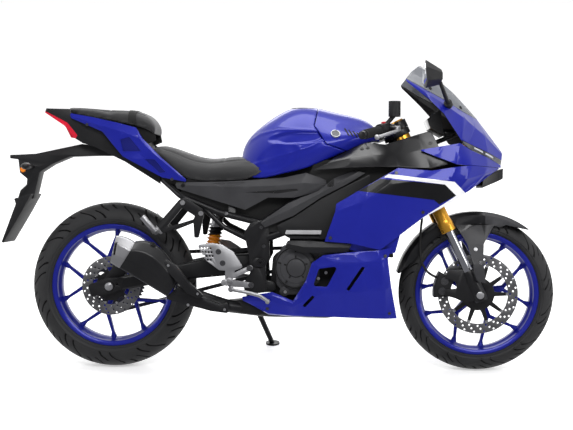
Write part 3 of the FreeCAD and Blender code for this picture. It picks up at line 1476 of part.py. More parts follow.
def chin_intake():
    """The dark scoop between the side fairings, open to the front and the rear."""
    def ring(x, low_half, low, high_half, high):
        corners = [at(x, -low_half, low), at(x, low_half, low), at(x, high_half, high), at(x, -high_half, high)]
        return Part.makePolygon(corners + corners[:1])

    form = lofted([
        ring(700, 80, 690, 117, 719), ring(712, 74, 695, 107.3, 728.8), ring(766, 30, 716, 31.5, 756),
        ring(786, 22, 726, 26, 764),
    ], True)
    hollow = lofted([
        ring(699, 70, 697, 100, 714), ring(712, 65, 701, 92, 722), ring(766, 24, 722, 25, 750),
        ring(788, 16, 732, 20, 758),
    ], True)
    return form.cut(hollow)


def dash():
    rear_face = [(506, -88, 912), (494, -84, 946), (494, 84, 946), (506, 88, 912)]
    front_face = [(556, -92, 884), (542, -92, 984), (542, 92, 984), (556, 92, 884)]
    form = lofted([
        Part.makePolygon([at(*corner) for corner in outline + outline[:1]])
        for outline in (rear_face, front_face)
    ], True)
    stay = Part.makeBox(84, 52, 10, at(536, -26, stay_top_z))
    return fused([form, stay])


def mirrors():
    heads = []
    for side in (-1, 1):
        y0, y1 = side * 236, side * 364
        back = [
            at(463, y0, 1060), at(463, y0 + side * 12, 1122), at(463, y1 - side * 24, 1136),
            at(463, y1, 1110), at(470, y1 - side * 6, 1062), at(472, y0 + side * 10, 1046),
        ]
        front = [at(512, y0 + side * 26, 1066), at(520, y0 + side * 30, 1096), at(520, y1 - side * 44, 1104),
                 at(524, y1 - side * 34, 1092), at(524, y1 - side * 34, 1070), at(520, y0 + side * 30, 1056)]
        hull = closed_solid(
            quad_loop(back, front) + fan(back) + fan(front))
        stalk = rod(at(562, side * 166, 996), at(520, side * 276, 1066), 8, 7)
        foot = rod(at(566, side * 155, 992), at(560, side * 172, 1000), 15)
        whole = fused([hull, stalk, foot]).cut(upper_cowl())
        heads.append(max(whole.Solids, key=lambda solid: solid.Volume))
    return gathered(heads)


def fan(points):
    """Triangles that close a loop which isn't quite flat."""
    faces = []
    for i in range(1, len(points) - 1):
        faces.append(Part.Face(Part.makePolygon([points[0], points[i], points[i + 1], points[0]])))
    return faces


def quad_loop(one, two):
    """Faces between two loops of as many points."""
    faces = []
    count = len(one)
    for i in range(count):
        j = (i + 1) % count
        faces += quad_faces(one[i], one[j], two[j], two[i])
    return faces


# Foot controls and brackets


def foot_brackets():
    """Alloy plates that carry the pegs, one on each side."""
    plates = []
    for side in (-1, 1):
        low, high = sorted((side * 170, side * 179))
        heel = side_slab([(-354, 475), (-300, 482), (-262, 476), (-221, 450), (-184, 393), (-221, 379),
                          (-272, 382), (-324, 420)], low, high, 8)
        holes = []
        for i in range(4):
            for k in range(4):
                spot = at(-338 + 11 * i + 4 * k, side * 165 if side > 0 else -190, 462 - 14 * k)
                if i + k < 6:
                    holes.append(Part.makeCylinder(4, 30, spot, across))
        heel = heel.cut(Part.makeCompound(holes))
        arms = [
            side_slab([(-250, 390), (-212, 392), (-228, 330), (-252, 322)], low, high, 6),
            side_slab([(-246, 340), (-236, 364), (-160, 400), (-152, 384)], low, high, 6),
            side_slab([(-246, 350), (-240, 322), (-152, 318), (-150, 336)], low, high, 6),
        ]
        plate = fused([heel] + arms)
        spacers = []
        for x, z in ((-160, 390), (-158, 327)):
            start = side * (spar_y + 14)
            spacers.append(Part.makeCylinder(10, 170 - spar_y - 14, at(x, start, z), across * side))
        plates.append(fused([plate] + spacers))
    return gathered(plates)


def rider_pegs():
    pegs = []
    for side in (-1, 1):
        start = at(-236, side * 179, 341)
        stem = start + V(0, side * 12, 0)
        pegs.append(fused([rod(start, stem, 14), rod(stem, stem + at(-10, side * 80, 4), 11.5)]))
    return gathered(pegs)


def foot_levers():
    """The brake pedal on the right and the gear lever on the left."""
    levers = []
    for side in (-1, 1):
        y = side * 188
        path = [at(-226, y, 312), at(-160, y, 300), at(-124, y, 291), at(-96, y, 273)]
        arm = swept_tube(path, 6.5, 20)
        tip = rod(at(-92, y, 271), at(-92, y + side * 34, 271), 8)
        hub = Part.makeCylinder(11, 9, at(-228, side * 179, 313), across * side)
        levers.append(fused([arm, tip, hub]))
    return gathered(levers)


def passenger_brackets():
    brackets = []
    for side in (-1, 1):
        low, high = sorted((side * bracket_seat_y, side * (bracket_seat_y + 12)))
        outer = side_slab([(-425, 640), (-404, 650), (-338, 606), (-334, 582), (-352, 500), (-368, 500),
                           (-372, 560), (-490, 512), (-512, 520), (-512, 540)], low, high, 6)
        window = side_slab([(-414, 610), (-366, 580), (-372, 568), (-474, 536)], low - 1, high + 1, 4)
        y = side * (bracket_seat_y + 6)
        arm = rod(at(-506, y, 526), at(-512, y + side * 14, 522), 12)
        peg = rod(at(-512, y + side * 10, 520), at(-560, y + side * 16, 578), 11)
        brackets.append(fused([outer.cut(window), arm, peg]))
    return gathered(brackets)


def side_stand():
    """The side stand: a tapered leg with a flat foot that meets the floor when leaned."""
    pivot = at(stand_pivot_x, stand_pivot_y, stand_pivot_z)
    foot = stand_foot_point()
    along = (foot - pivot).normalize()
    knee = pivot + along * 60
    leg = fused([rod(pivot, knee, stand_eye_half - 0.5, 11), rod(knee, foot + along * 2, 11, 10)])
    outward = stand_axis() if stand_axis().y > 0 else stand_axis() * -1
    leg = leg.cut(Part.makeCylinder(12, 30, pivot + outward * stand_eye_half, outward))
    leg = leg.cut(Part.makeCylinder(20, 30, pivot - outward * stand_eye_half, outward * -1))
    eye = Part.makeCylinder(17, 2 * stand_eye_half, pivot - stand_axis() * stand_eye_half, stand_axis())
    floor_up = V(0, -math.sin(math.radians(lean_deg)), math.cos(math.radians(lean_deg)))
    pad = Part.makeCylinder(28, 7, V(0, 0, 0), V(0, 0, 1))
    turn = FreeCAD.Rotation(V(0, 0, 1), floor_up)
    pad.Placement = FreeCAD.Placement(foot, turn)
    bore = Part.makeCylinder(stand_pin_radius + fit_gap, 60, pivot - stand_axis() * 30, stand_axis())
    return fused([leg, eye, pad]).cut(below_floor()).cut(bore)


def stand_lug():
    """The frame's lug and pin that the side stand turns on."""
    pivot = at(stand_pivot_x, stand_pivot_y, stand_pivot_z)
    axis = stand_axis() if stand_axis().y > 0 else stand_axis() * -1
    reach = stand_eye_half + fit_gap
    lug = Part.makeCylinder(17, 8, pivot - axis * (reach + 8), axis)
    pin = Part.makeCylinder(stand_pin_radius, 2 * reach + 6, pivot - axis * (reach + 4), axis)
    head = Part.makeCylinder(9, 4, pivot + axis * reach, axis)
    link = rod(pivot - axis * (reach + 8 - 0.01), at(-150, spar_y, 318), 8, 12)
    eye_room = Part.makeCylinder(17 + 5, 2 * reach, pivot - axis * reach, axis)
    return fused([lug, link.cut(eye_room), pin, head])


def below_floor():
    """Everything under the floor, as it lies in the upright frame of the leaned machine."""
    block = Part.makeBox(3000, 3000, 400, V(-1500, -1500, -400))
    return leaned(block, True)


def stand_foot_point():
    """Where the stand's foot meets the floor, in the upright frame."""
    return leaned_point(at(stand_foot_x, stand_foot_y, 0), True)


def stand_folded_point():
    pivot = at(stand_pivot_x, stand_pivot_y, stand_pivot_z)
    length = (stand_foot_point() - pivot).Length
    return pivot + V(-0.955, 0.06, -0.29).normalize() * length


def stand_axis():
    """The hinge axis that swings the foot from the floor to its folded place."""
    change = (stand_foot_point() - stand_folded_point()).normalize()
    axis = across - change * across.dot(change)
    return axis.normalize()


# Placing the machine on the floor


def lean_rotation():
    """The turn about the line through the centres of both tyres' crowns, above their contact."""
    front = V(wheelbase / 2, 0, front_crown_radius)
    rear = V(-wheelbase / 2, 0, rear_crown_radius)
    return rear, (front - rear).normalize()


def leaned(shape, back=False):
    centre, axis = lean_rotation()
    moved = shape.copy()
    moved.rotate(centre, axis, lean_deg if back else -lean_deg)
    return moved


def leaned_point(point, back=False):
    centre, axis = lean_rotation()
    turn = FreeCAD.Rotation(axis, lean_deg if back else -lean_deg)
    return centre + turn.multVec(point - centre)


def placed(shape):
    moved = leaned(shape)
    moved.translate(V(origin_ahead_of_middle, -origin_left_of_track, 0))
    return moved


def cap_centre():
    """The middle of the filler's rim, on the top of the tank."""
    return at(cap_x, 0, cap_z)


def fuel_tank():
    body = tank_form().cut(tank_split_slab(0))
    neck = Part.makeCylinder(cap_plug_radius + 6, 40, cap_centre() - V(0, 0, 34), V(0, 0, 1))
    seat = Part.makeCylinder(cap_radius + 2, 40, cap_centre(), V(0, 0, 1))
    body = body.cut(neck).cut(seat)
    for side in (-1, 1):
        body = with_boss(body, at(110, side * 50, tank_seat_z), V(0, 0, 1), 9)
    return body


def fuel_cap():
    plate = Part.makeCylinder(cap_radius, 6, cap_centre() + V(0, 0, fit_gap), V(0, 0, 1))
    plug = Part.makeCylinder(cap_plug_radius, 24, cap_centre() - V(0, 0, 22), V(0, 0, 1))
    return fused([plate, plug])


def tank_front_cover():
    return tank_form().common(tank_split_slab(1.5))


pieces = {
    "front_tyre": lambda: tyre(front_axle, front_tyre_radius, front_tyre_half_width, front_crown_radius,
                               front_rim_half_width),
    "rear_tyre": lambda: tyre(rear_axle, rear_tyre_radius, rear_tyre_half_width, rear_crown_radius,
                              rear_rim_half_width),
    "front_rim": lambda: cast_wheel(front_axle, front_rim_half_width, front_hub_low, front_hub_high,
                                    front_hub_radius, front_spoke_spread_deg, 9),
    "rear_rim": lambda: cast_wheel(rear_axle, rear_rim_half_width, rear_hub_low, rear_hub_high,
                                   rear_hub_radius, rear_spoke_spread_deg, 178),
    "front_disc": lambda: drilled_disc(front_axle, front_disc_y, front_disc_radius, front_disc_inner_radius,
                                       62, 18, 24),
    "rear_disc": lambda: drilled_disc(rear_axle, rear_disc_y, rear_disc_radius, rear_disc_inner_radius,
                                      56, 20, 20),
    "rear_sprocket": sprocket,
    "drive_chain": drive_chain,
    "triple_clamps": triple_clamps,
    "fork_outer_tubes": fork_outer_tubes,
    "fork_inner_tubes": fork_inner_tubes,
    "fork_axle_clamps": fork_axle_clamps,
    "front_axle": front_axle_shaft,
    "front_caliper": lambda: caliper(front_axle, front_disc_y, front_disc_radius, 167, 17, 42, -36,
                                     caliper_outer_y),
    "rear_caliper": rear_caliper,
    "clip_on_bars": clip_on_bars,
    "hand_grips": hand_grips,
    "hand_controls": hand_controls,
    "front_fender": front_fender,
    "front_brake_hose": front_brake_hose,
    "frame": frame,
    "swingarm": swingarm,
    "swingarm_pivot": swingarm_pivot,
    "rear_axle": rear_axle_shaft,
    "engine_block": engine_block,
    "engine_covers": engine_covers,
    "airbox": airbox,
    "inner_panels": inner_panels,
    "radiator": radiator,
    "exhaust_pipe": exhaust_pipe,
    "silencer": silencer,
    "silencer_end_cap": silencer_end_cap,
    "rear_shock": rear_shock,
    "fuel_tank": fuel_tank,
    "tank_front_cover": tank_front_cover,
    "fuel_cap": fuel_cap,
    "rider_seat": rider_seat,
    "pillion_seat": pillion_seat,
    "tail_side_panels": tail_side_panels,
    "tail_core": tail_core,
    "tail_lamp": tail_lamp,
    "plate_hanger": plate_hanger,
    "side_covers": side_covers,
    "frame_covers": frame_covers,
    "upper_trim": upper_trim,
    "upper_cowl": upper_cowl,
    "windscreen": windscreen,
    "nose_mask": nose_mask,
    "headlamps": headlamps,
    "side_fairings": side_fairings,
    "side_slats": side_slats,
    "belly_fairing": belly_fairing,
    "chin_intake": chin_intake,
    "dash": dash,
    "mirrors": mirrors,
    "foot_brackets": foot_brackets,
    "rider_pegs": rider_pegs,
    "foot_levers": foot_levers,
    "passenger_brackets": passenger_brackets,
    "side_stand": side_stand,
}


def main():
    os.makedirs("parts", exist_ok=True)
    for name, make in pieces.items():
        shape = placed(make())
        shape.exportStep("parts/" + name + ".step")
        print(name, "solids", len(shape.Solids), "valid", shape.isValid())


if __name__ == "__main__":
    main()
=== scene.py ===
# Sport motorcycle in blue and black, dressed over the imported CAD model.
import bpy
import bmesh
import json
import math
from mathutils import Matrix, Vector
from mathutils.bvhtree import BVHTree

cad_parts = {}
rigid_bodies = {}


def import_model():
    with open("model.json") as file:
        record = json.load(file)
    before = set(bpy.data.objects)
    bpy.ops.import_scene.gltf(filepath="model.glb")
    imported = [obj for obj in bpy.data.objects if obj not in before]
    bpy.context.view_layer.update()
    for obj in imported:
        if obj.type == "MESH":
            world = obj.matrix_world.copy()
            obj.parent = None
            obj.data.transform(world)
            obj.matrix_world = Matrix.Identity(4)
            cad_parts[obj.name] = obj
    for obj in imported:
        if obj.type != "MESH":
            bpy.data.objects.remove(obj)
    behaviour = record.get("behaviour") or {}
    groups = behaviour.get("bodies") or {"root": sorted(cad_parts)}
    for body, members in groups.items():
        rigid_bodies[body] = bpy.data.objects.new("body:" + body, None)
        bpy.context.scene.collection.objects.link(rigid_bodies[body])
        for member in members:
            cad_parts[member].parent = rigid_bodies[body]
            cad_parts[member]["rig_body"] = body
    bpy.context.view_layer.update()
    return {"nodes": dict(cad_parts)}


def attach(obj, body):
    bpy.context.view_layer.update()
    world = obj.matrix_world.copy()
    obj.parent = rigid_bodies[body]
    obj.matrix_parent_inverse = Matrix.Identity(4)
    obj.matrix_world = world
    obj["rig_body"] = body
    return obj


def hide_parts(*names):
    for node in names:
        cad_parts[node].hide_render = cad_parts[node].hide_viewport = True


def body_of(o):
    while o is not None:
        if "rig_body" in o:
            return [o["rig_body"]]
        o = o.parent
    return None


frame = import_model()
nodes = frame["nodes"]
print("frame loaded,", len(nodes), "nodes")

# The machine leans on its stand. Pieces are drawn upright, then leaned with this matrix.
lean = {
    "rotation": (
        (0.999998, -0.001936, -0.000186),
        (0.001936, 0.981627, 0.190799),
        (-0.000186, -0.190799, 0.981629),
    ),
    "shift": (0.063412, -0.18312, 0.001157),
    # the way back to upright, for the patterns of the materials
    "backTurn": (0.191976, 0.000186, -0.001936),
    "backShift": (-0.063057, 0.180099, 0.033815),
}
leanMatrix = Matrix.Translation(lean["shift"]) @ Matrix(lean["rotation"]).to_4x4()


def linkObject(name, data):
    thing = bpy.data.objects.new(name, data)
    bpy.context.scene.collection.objects.link(thing)
    return thing


# Camera at the photograph's place
view = {
    "location": (0.181, -4.17768, 1.46136),
    "turn": (1.357937, 0.001044, 0.036221),
    "lens": 68.99,
    "sensor": 36,
}
cameraData = bpy.data.cameras.new("photoCamera")
cameraData.lens = view["lens"]
cameraData.sensor_width = view["sensor"]
camera = linkObject("photoCamera", cameraData)
camera.location = view["location"]
camera.rotation_euler = view["turn"]
bpy.context.scene.camera = camera


# Helpers for node trees


def addNoise(tree, vector, scale, detail):
    noise = tree.nodes.new("ShaderNodeTexNoise")
    noise.inputs["Scale"].default_value = scale
    noise.inputs["Detail"].default_value = detail
    tree.links.new(vector, noise.inputs["Vector"])
    return noise.outputs["Fac"]


def addRamp(tree, value, low, high, lowColour, highColour):
    ramp = tree.nodes.new("ShaderNodeValToRGB")
    for element, place, colour in zip(ramp.color_ramp.elements, (low, high), (lowColour, highColour)):
        element.position = place
        element.color = (*colour, 1)
    tree.links.new(value, ramp.inputs["Fac"])
    return ramp.outputs["Color"]


def addRange(tree, value, *ends):
    spread = tree.nodes.new("ShaderNodeMapRange")
    for name, number in zip(("From Min", "From Max", "To Min", "To Max"), ends):
        spread.inputs[name].default_value = number
    tree.links.new(value, spread.inputs["Value"])
    return spread.outputs["Result"]


# Studio
studio = {
    "floorColour": (0.95, 0.95, 0.95),
    "floorSize": 60,
    "floorGlow": 0.42,
    "skyBack": (1.0, 1.0, 1.0),  # behind the machine, as the camera sees it
    "skyFront": (0.20, 0.20, 0.215),  # behind the camera, what the panels mirror
    "skyBlend": (0.35, 0.6),  # where the change from front to back starts and ends
    "skyStrength": 1.0,
    "lights": [
        # name, place, aim, size, power
        ("keyLight", (0.8, -3.0, 3.4), (0.1, 0.0, 0.5), (3.4, 1.0), 88),
        ("topLight", (0.0, 0.3, 3.2), (0.0, 0.0, 0.6), (4.0, 0.9), 60),
        ("noseLight", (4.0, -2.2, 1.6), (0.4, 0.0, 0.6), (1.2, 1.6), 30),
        ("tailLight", (-4.0, -2.0, 1.8), (-0.6, 0.0, 0.6), (1.2, 1.6), 28),
        ("farLight", (0.0, 4.0, 2.6), (0.0, 0.0, 0.5), (4.0, 1.2), 50),
    ],
}
for name, place, aim, size, power in studio["lights"]:
    data = bpy.data.lights.new(name, "AREA")
    data.shape = "RECTANGLE"
    data.size, data.size_y = size
    data.energy = power
    light = linkObject(name, data)
    light.location = place
    light.rotation_euler = (Vector(aim) - Vector(place)).to_track_quat("-Z", "Y").to_euler()
world = bpy.data.worlds.new("studioSky")
bpy.context.scene.world = world
world.use_nodes = True
sky = world.node_tree
skyPlace = sky.nodes.new("ShaderNodeTexCoord")
skySplit = sky.nodes.new("ShaderNodeSeparateXYZ")
sky.links.new(skyPlace.outputs["Generated"], skySplit.inputs["Vector"])
skyShare = addRange(sky, skySplit.outputs["Y"], -1, 1, 0, 1)
skyColour = addRamp(sky, skyShare, *studio["skyBlend"], studio["skyFront"], studio["skyBack"])
sky.links.new(skyColour, sky.nodes["Background"].inputs["Color"])
sky.nodes["Background"].inputs["Strength"].default_value = studio["skyStrength"]
bpy.context.scene.view_settings.view_transform = "Standard"

# Materials
usual = {
    "metallic": 0.0, "coat": 0.0, "coatRoughness": 0.05, "sheen": 0.0, "gloss": 0.5, "mottle": 0.12,
    "roughSpread": 0.06, "grain": 0.15, "grainScale": 900,
}
sockets = {
    "roughness": "Roughness", "metallic": "Metallic", "coat": "Coat Weight",
    "coatRoughness": "Coat Roughness", "sheen": "Sheen Weight", "gloss": "Specular IOR Level",
}
cloud = {"scale": 9, "detail": 3.0, "mottleRange": (0.35, 0.65), "roughRange": (0.3, 0.7)}
fineGrain = {"detail": 2.0, "depth": 0.0004}


def look(colour, roughness, **others):
    return {**usual, "colour": colour, "roughness": roughness, **others}


def startMaterial(name, look):
    material = bpy.data.materials.new(name)
    material.use_nodes = True
    shader = material.node_tree.nodes["Principled BSDF"]
    shader.inputs["Base Color"].default_value = (*look["colour"], 1)
    for value, socket in sockets.items():
        shader.inputs[socket].default_value = look[value]
    return material, shader


def plainFinish(name, look):
    # mottled colour, uneven roughness and a fine grain
    material, shader = startMaterial(name, look)
    tree = material.node_tree
    place = tree.nodes.new("ShaderNodeTexCoord")
    upright = tree.nodes.new("ShaderNodeMapping")
    upright.inputs["Rotation"].default_value = lean["backTurn"]
    upright.inputs["Location"].default_value = lean["backShift"]
    tree.links.new(place.outputs["Object"], upright.inputs["Vector"])
    vector = upright.outputs["Vector"]
    grain = addNoise(tree, vector, look["grainScale"], fineGrain["detail"])
    patches = addNoise(tree, vector, cloud["scale"], cloud["detail"])
    darker = tuple(c * (1 - look["mottle"]) for c in look["colour"])
    lighter = tuple(min(1.0, c * (1 + look["mottle"])) for c in look["colour"])
    mottled = addRamp(tree, patches, *cloud["mottleRange"], darker, lighter)
    tree.links.new(mottled, shader.inputs["Base Color"])
    smoother, rougher = look["roughness"] - look["roughSpread"], look["roughness"] + look["roughSpread"]
    uneven = addRange(tree, patches, *cloud["roughRange"], smoother, rougher)
    tree.links.new(uneven, shader.inputs["Roughness"])
    bump = tree.nodes.new("ShaderNodeBump")
    bump.inputs["Strength"].default_value = look["grain"]
    bump.inputs["Distance"].default_value = fineGrain["depth"]
    tree.links.new(grain, bump.inputs["Height"])
    tree.links.new(bump.outputs["Normal"], shader.inputs["Normal"])
    return material


looks = {
    # painted shade: rubber far darker than the tread, worn on the groove floors
    "grooveShade": look((0.004, 0.004, 0.004), 0.8, gloss=0.2),
    "tyreRubber": look((0.020, 0.020, 0.021), 0.6, grainScale=700, grain=0.25, gloss=0.35),
    "wheelBlue": look((0.008, 0.013, 0.25), 0.34, metallic=0.3, coat=0.3, grain=0.03, mottle=0.05, gloss=0.3),
    "discSteel": look((0.20, 0.20, 0.205), 0.42, metallic=0.85, grainScale=1400),
    "darkSteel": look((0.09, 0.09, 0.095), 0.42, metallic=0.8),
    "goldAnodised": look((0.86, 0.43, 0.05), 0.3, metallic=0.85, grain=0.05),
    "chromeTube": look((0.62, 0.63, 0.66), 0.14, metallic=1.0, grain=0.02),
    "brightSteel": look((0.55, 0.55, 0.56), 0.32, metallic=0.9),
    "darkCast": look((0.013, 0.013, 0.014), 0.5, metallic=0.3, grain=0.4, grainScale=500, gloss=0.4),
    "brightAlloy": look((0.40, 0.40, 0.41), 0.4, metallic=0.85, grain=0.12),
    "lightPlastic": look((0.36, 0.36, 0.37), 0.4, grain=0.1),
    "clearLens": look((0.55, 0.56, 0.6), 0.12, coat=0.9, grain=0.0),
    "switchRed": look((0.55, 0.01, 0.02), 0.35, grain=0.05),
    "stitchGrey": look((0.06, 0.06, 0.062), 0.7, grain=0.2),
    # near-black: the colour of rubber parts, and painted shade behind gaps, in slots, in the silencer outlet
    # and on the clutch cover's ribs
    "blackRubberAndShade": look((0.008, 0.008, 0.008), 0.7, gloss=0.3),
    "gripRubber": look((0.012, 0.012, 0.012), 0.75, grain=0.5, gloss=0.3),
    "seatCover": look((0.014, 0.014, 0.015), 0.58, grain=0.5, grainScale=520, sheen=0.15, gloss=0.45),
    "bodyBlue": look((0.006, 0.011, 0.26), 0.36, metallic=0.2, coat=0.35, coatRoughness=0.03, grain=0.0,
                     mottle=0.03, roughSpread=0.02, gloss=0.25),
    # painted shade: a darker copy of the body blue, worn in the tail panels' recesses
    "shadedBlue": look((0.003, 0.006, 0.13), 0.38, metallic=0.2, coat=0.3, grain=0.0, gloss=0.25),
    "coverGrey": look((0.050, 0.050, 0.054), 0.42, metallic=0.35, grain=0.3, grainScale=500, gloss=0.4),
    "stripeWhite": look((0.72, 0.72, 0.74), 0.3, coat=0.6, grain=0.0, mottle=0.02),
    "stripeBlack": look((0.005, 0.005, 0.006), 0.36, coat=0.15, grain=0.0, gloss=0.25),
    "blackPlastic": look((0.010, 0.010, 0.011), 0.45, grain=0.2, grainScale=1100, gloss=0.3),
    "greyPlastic": look((0.034, 0.034, 0.037), 0.45, grain=0.2, grainScale=1100, gloss=0.35),
    "glossBlack": look((0.006, 0.006, 0.007), 0.34, coat=0.25, coatRoughness=0.16, grain=0.0, gloss=0.35),
    "blackSteel": look((0.008, 0.008, 0.009), 0.38, coat=0.1, grain=0.08, gloss=0.35),
    "redLens": look((0.62, 0.008, 0.03), 0.14, coat=0.8, grain=0.02),
    "amberLens": look((0.8, 0.22, 0.01), 0.14, coat=0.8, grain=0.02),
    "lampLens": look((0.02, 0.022, 0.03), 0.08, coat=1.0, grain=0.0),
    "mirrorGlass": look((0.7, 0.72, 0.75), 0.03, metallic=1.0, grain=0.0),
    "springOrange": look((0.75, 0.26, 0.01), 0.35, coat=0.6),
}
finishes = {name: plainFinish(name, look) for name, look in looks.items()}
smokedGlass = {"Transmission Weight": 0.25, "IOR": 1.3, "Alpha": 0.86}
finishes["smokedScreen"], smokedShader = startMaterial("smokedScreen", look((0.20, 0.21, 0.23), 0.08))
for socket, number in smokedGlass.items():
    smokedShader.inputs[socket].default_value = number



def byNode(table):
    return {node: finish for finish, names in table.items() for node in names.split()}


worn = byNode({
    "tyreRubber": "front_tyre rear_tyre",
    "wheelBlue": "front_rim rear_rim",
    "discSteel": "front_disc rear_disc",
    "darkSteel": "rear_sprocket drive_chain",
    "goldAnodised": "fork_outer_tubes",
    "chromeTube": "fork_inner_tubes",
    "brightSteel": "front_axle rear_axle",
    "darkCast": "engine_block radiator front_caliper rear_caliper",
    "coverGrey": "engine_covers",
    "brightAlloy": "silencer_end_cap foot_brackets foot_levers rider_pegs fuel_cap",
    "gripRubber": "hand_grips front_brake_hose",
    "seatCover": "rider_seat pillion_seat",
    "smokedScreen": "windscreen",
    "lampLens": "headlamps",
    "redLens": "tail_lamp",
    "bodyBlue": "fuel_tank tank_front_cover upper_cowl nose_mask side_fairings belly_fairing "
                "tail_side_panels",
    "blackSteel": "frame swingarm passenger_brackets side_stand exhaust_pipe silencer triple_clamps "
                  "fork_axle_clamps clip_on_bars swingarm_pivot",
    "greyPlastic": "side_covers frame_covers",
    "glossBlack": "upper_trim front_fender",
    "springOrange": "rear_shock",
})
for name, node in nodes.items():
    finish = finishes[worn.get(name, "blackPlastic")]
    node.data.materials.clear()
    node.data.materials.append(finish)
print("materials ready")


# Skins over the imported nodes: the same form with rounded edges, smooth shading and pressed details

surfaces = {}  # node name: tree of its skin in upright metres, on which small pieces are seated


def takeNode(name, weld=0.00003, flat=0.4):
    shape = bmesh.new()
    shape.from_mesh(nodes[name].data)
    bmesh.ops.remove_doubles(shape, verts=shape.verts, dist=weld)
    bmesh.ops.dissolve_limit(shape, angle_limit=math.radians(flat), verts=shape.verts, edges=shape.edges)
    shape.transform(leanMatrix.inverted())
    return shape


def makeMesh(shape, name):
    data = bpy.data.meshes.new(name)
    shape.to_mesh(data)
    shape.free()
    return data


def finishedShape(thing):
    # the shape of an object with its modifiers applied
    fine = bpy.data.meshes.new_from_object(thing.evaluated_get(bpy.context.evaluated_depsgraph_get()))
    shape = bmesh.new()
    shape.from_mesh(fine)
    bpy.data.meshes.remove(fine)
    return shape


def isSharp(edge, degrees):
    return edge.is_manifold and edge.calc_face_angle(0) > math.radians(degrees)


def roundEdges(shape, width, sharp=32):
    edges = [edge for edge in shape.edges if isSharp(edge, sharp)]
    bmesh.ops.bevel(shape, geom=edges, offset=width, offset_type="OFFSET", segments=2, profile=0.5,
                    affect="EDGES", clamp_overlap=True, material=-1)


def faceOut(shape):
    bmesh.ops.recalc_face_normals(shape, faces=shape.faces)


def placePiece(shape, name, body, looksWorn, covers=(), crease=38):
    for face in shape.faces:
        face.smooth = True
    for edge in shape.edges:
        edge.smooth = not isSharp(edge, crease)
    shape.transform(leanMatrix)
    data = makeMesh(shape, name)
    for finish in looksWorn:
        data.materials.append(finishes[finish])
    piece = linkObject(name, data)
    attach(piece, body)
    if covers:
        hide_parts(*covers)


def cutArea(shape, corners, minimumY, facing):
    # corners: (x, z) in millimetres of a convex area seen from the side; gives back the faces inside it
    middle = Vector((sum(x for x, z in corners), 0, sum(z for x, z in corners))) / len(corners) / 1000
    planes = []
    for (x, z), (nextX, nextZ) in zip(corners, corners[1:] + corners[:1]):
        start = Vector((x, 0, z)) / 1000
        outward = Vector((nextX - x, 0, nextZ - z)).cross(Vector((0, 1, 0))).normalized()
        planes.append((start, -outward if (middle - start).dot(outward) > 0 else outward))
    (lowX, highX), (lowZ, highZ) = ((min(row) / 1000, max(row) / 1000) for row in zip(*corners))
    for start, outward in planes:
        parts = set()
        for face in shape.faces:
            xs, ys, zs = zip(*(vert.co for vert in face.verts))
            if max(xs) > lowX and min(xs) < highX and max(zs) > lowZ and min(zs) < highZ:
                parts.update([face], face.edges, face.verts)
        bmesh.ops.bisect_plane(shape, geom=list(parts), dist=0.00001, plane_co=start, plane_no=outward)
    inside = []
    for face in shape.faces:
        spot = face.calc_center_median()
        if abs(spot.y) < minimumY or not all((spot - start).dot(outward) < 0 for start, outward in planes):
            continue
        if face.normal.y * math.copysign(1, spot.y) > facing:
            inside.append(face)
    return inside


def markArea(shape, corners, depth, slot, minimumY, rim=0.0012, facing=0.25, anyway=-2.0):
    # paint an area on both flanks, and sink it when it has a depth
    if depth:
        shape.normal_update()
    inside = cutArea(shape, corners, minimumY, facing if depth else anyway)
    if depth and inside:
        bmesh.ops.inset_region(shape, faces=inside, thickness=rim, depth=-depth, use_even_offset=True)
    for face in inside:
        face.material_index = slot


def remeshed(shape, voxel, softenings):
    # an even, dense mesh of the shape, softened this many times
    rough = linkObject("rough", makeMesh(shape, "rough"))
    remesh = rough.modifiers.new("voxels", "REMESH")
    remesh.mode = "VOXEL"
    remesh.voxel_size = voxel
    shape = finishedShape(rough)
    bpy.data.objects.remove(rough)
    for i in range(softenings):
        bmesh.ops.smooth_vert(shape, verts=shape.verts, factor=0.5, use_axis_x=True, use_axis_y=True,
                              use_axis_z=True)
    return shape


def pressDish(shape, centre, size, turn, depth, minimumY=0.05, steepness=1.6):
    # a soft oval hollow on both flanks; centre, size and depth in millimetres, turn in degrees
    cosTurn, sinTurn = math.cos(math.radians(turn)), math.sin(math.radians(turn))
    for vert in shape.verts:
        if abs(vert.co.y) < minimumY:
            continue
        across, up = vert.co.x * 1000 - centre[0], vert.co.z * 1000 - centre[1]
        u = (across * cosTurn + up * sinTurn) / size[0]
        v = (up * cosTurn - across * sinTurn) / size[1]
        share = 1 - u * u - v * v
        if share > 0:
            share = min(1.0, share * steepness)
            vert.co.y -= math.copysign(depth / 1000 * share * share * (3 - 2 * share), vert.co.y)


def raiseCrease(shape, points, height, width, minimumY=0.05):
    # a ridge along a line of (x, z) points on both flanks, height and width in millimetres
    for vert in shape.verts:
        if abs(vert.co.y) < minimumY:
            continue
        spot = Vector((vert.co.x * 1000, vert.co.z * 1000))
        nearest = width
        for start, end in zip(points, points[1:]):
            start, end = Vector(start), Vector(end)
            run = end - start
            share = min(1.0, max(0.0, (spot - start).dot(run) / run.dot(run)))
            nearest = min(nearest, (start + run * share - spot).length)
        if nearest < width:
            share = 1 - nearest / width
            vert.co += vert.normal * (height / 1000 * share * share)


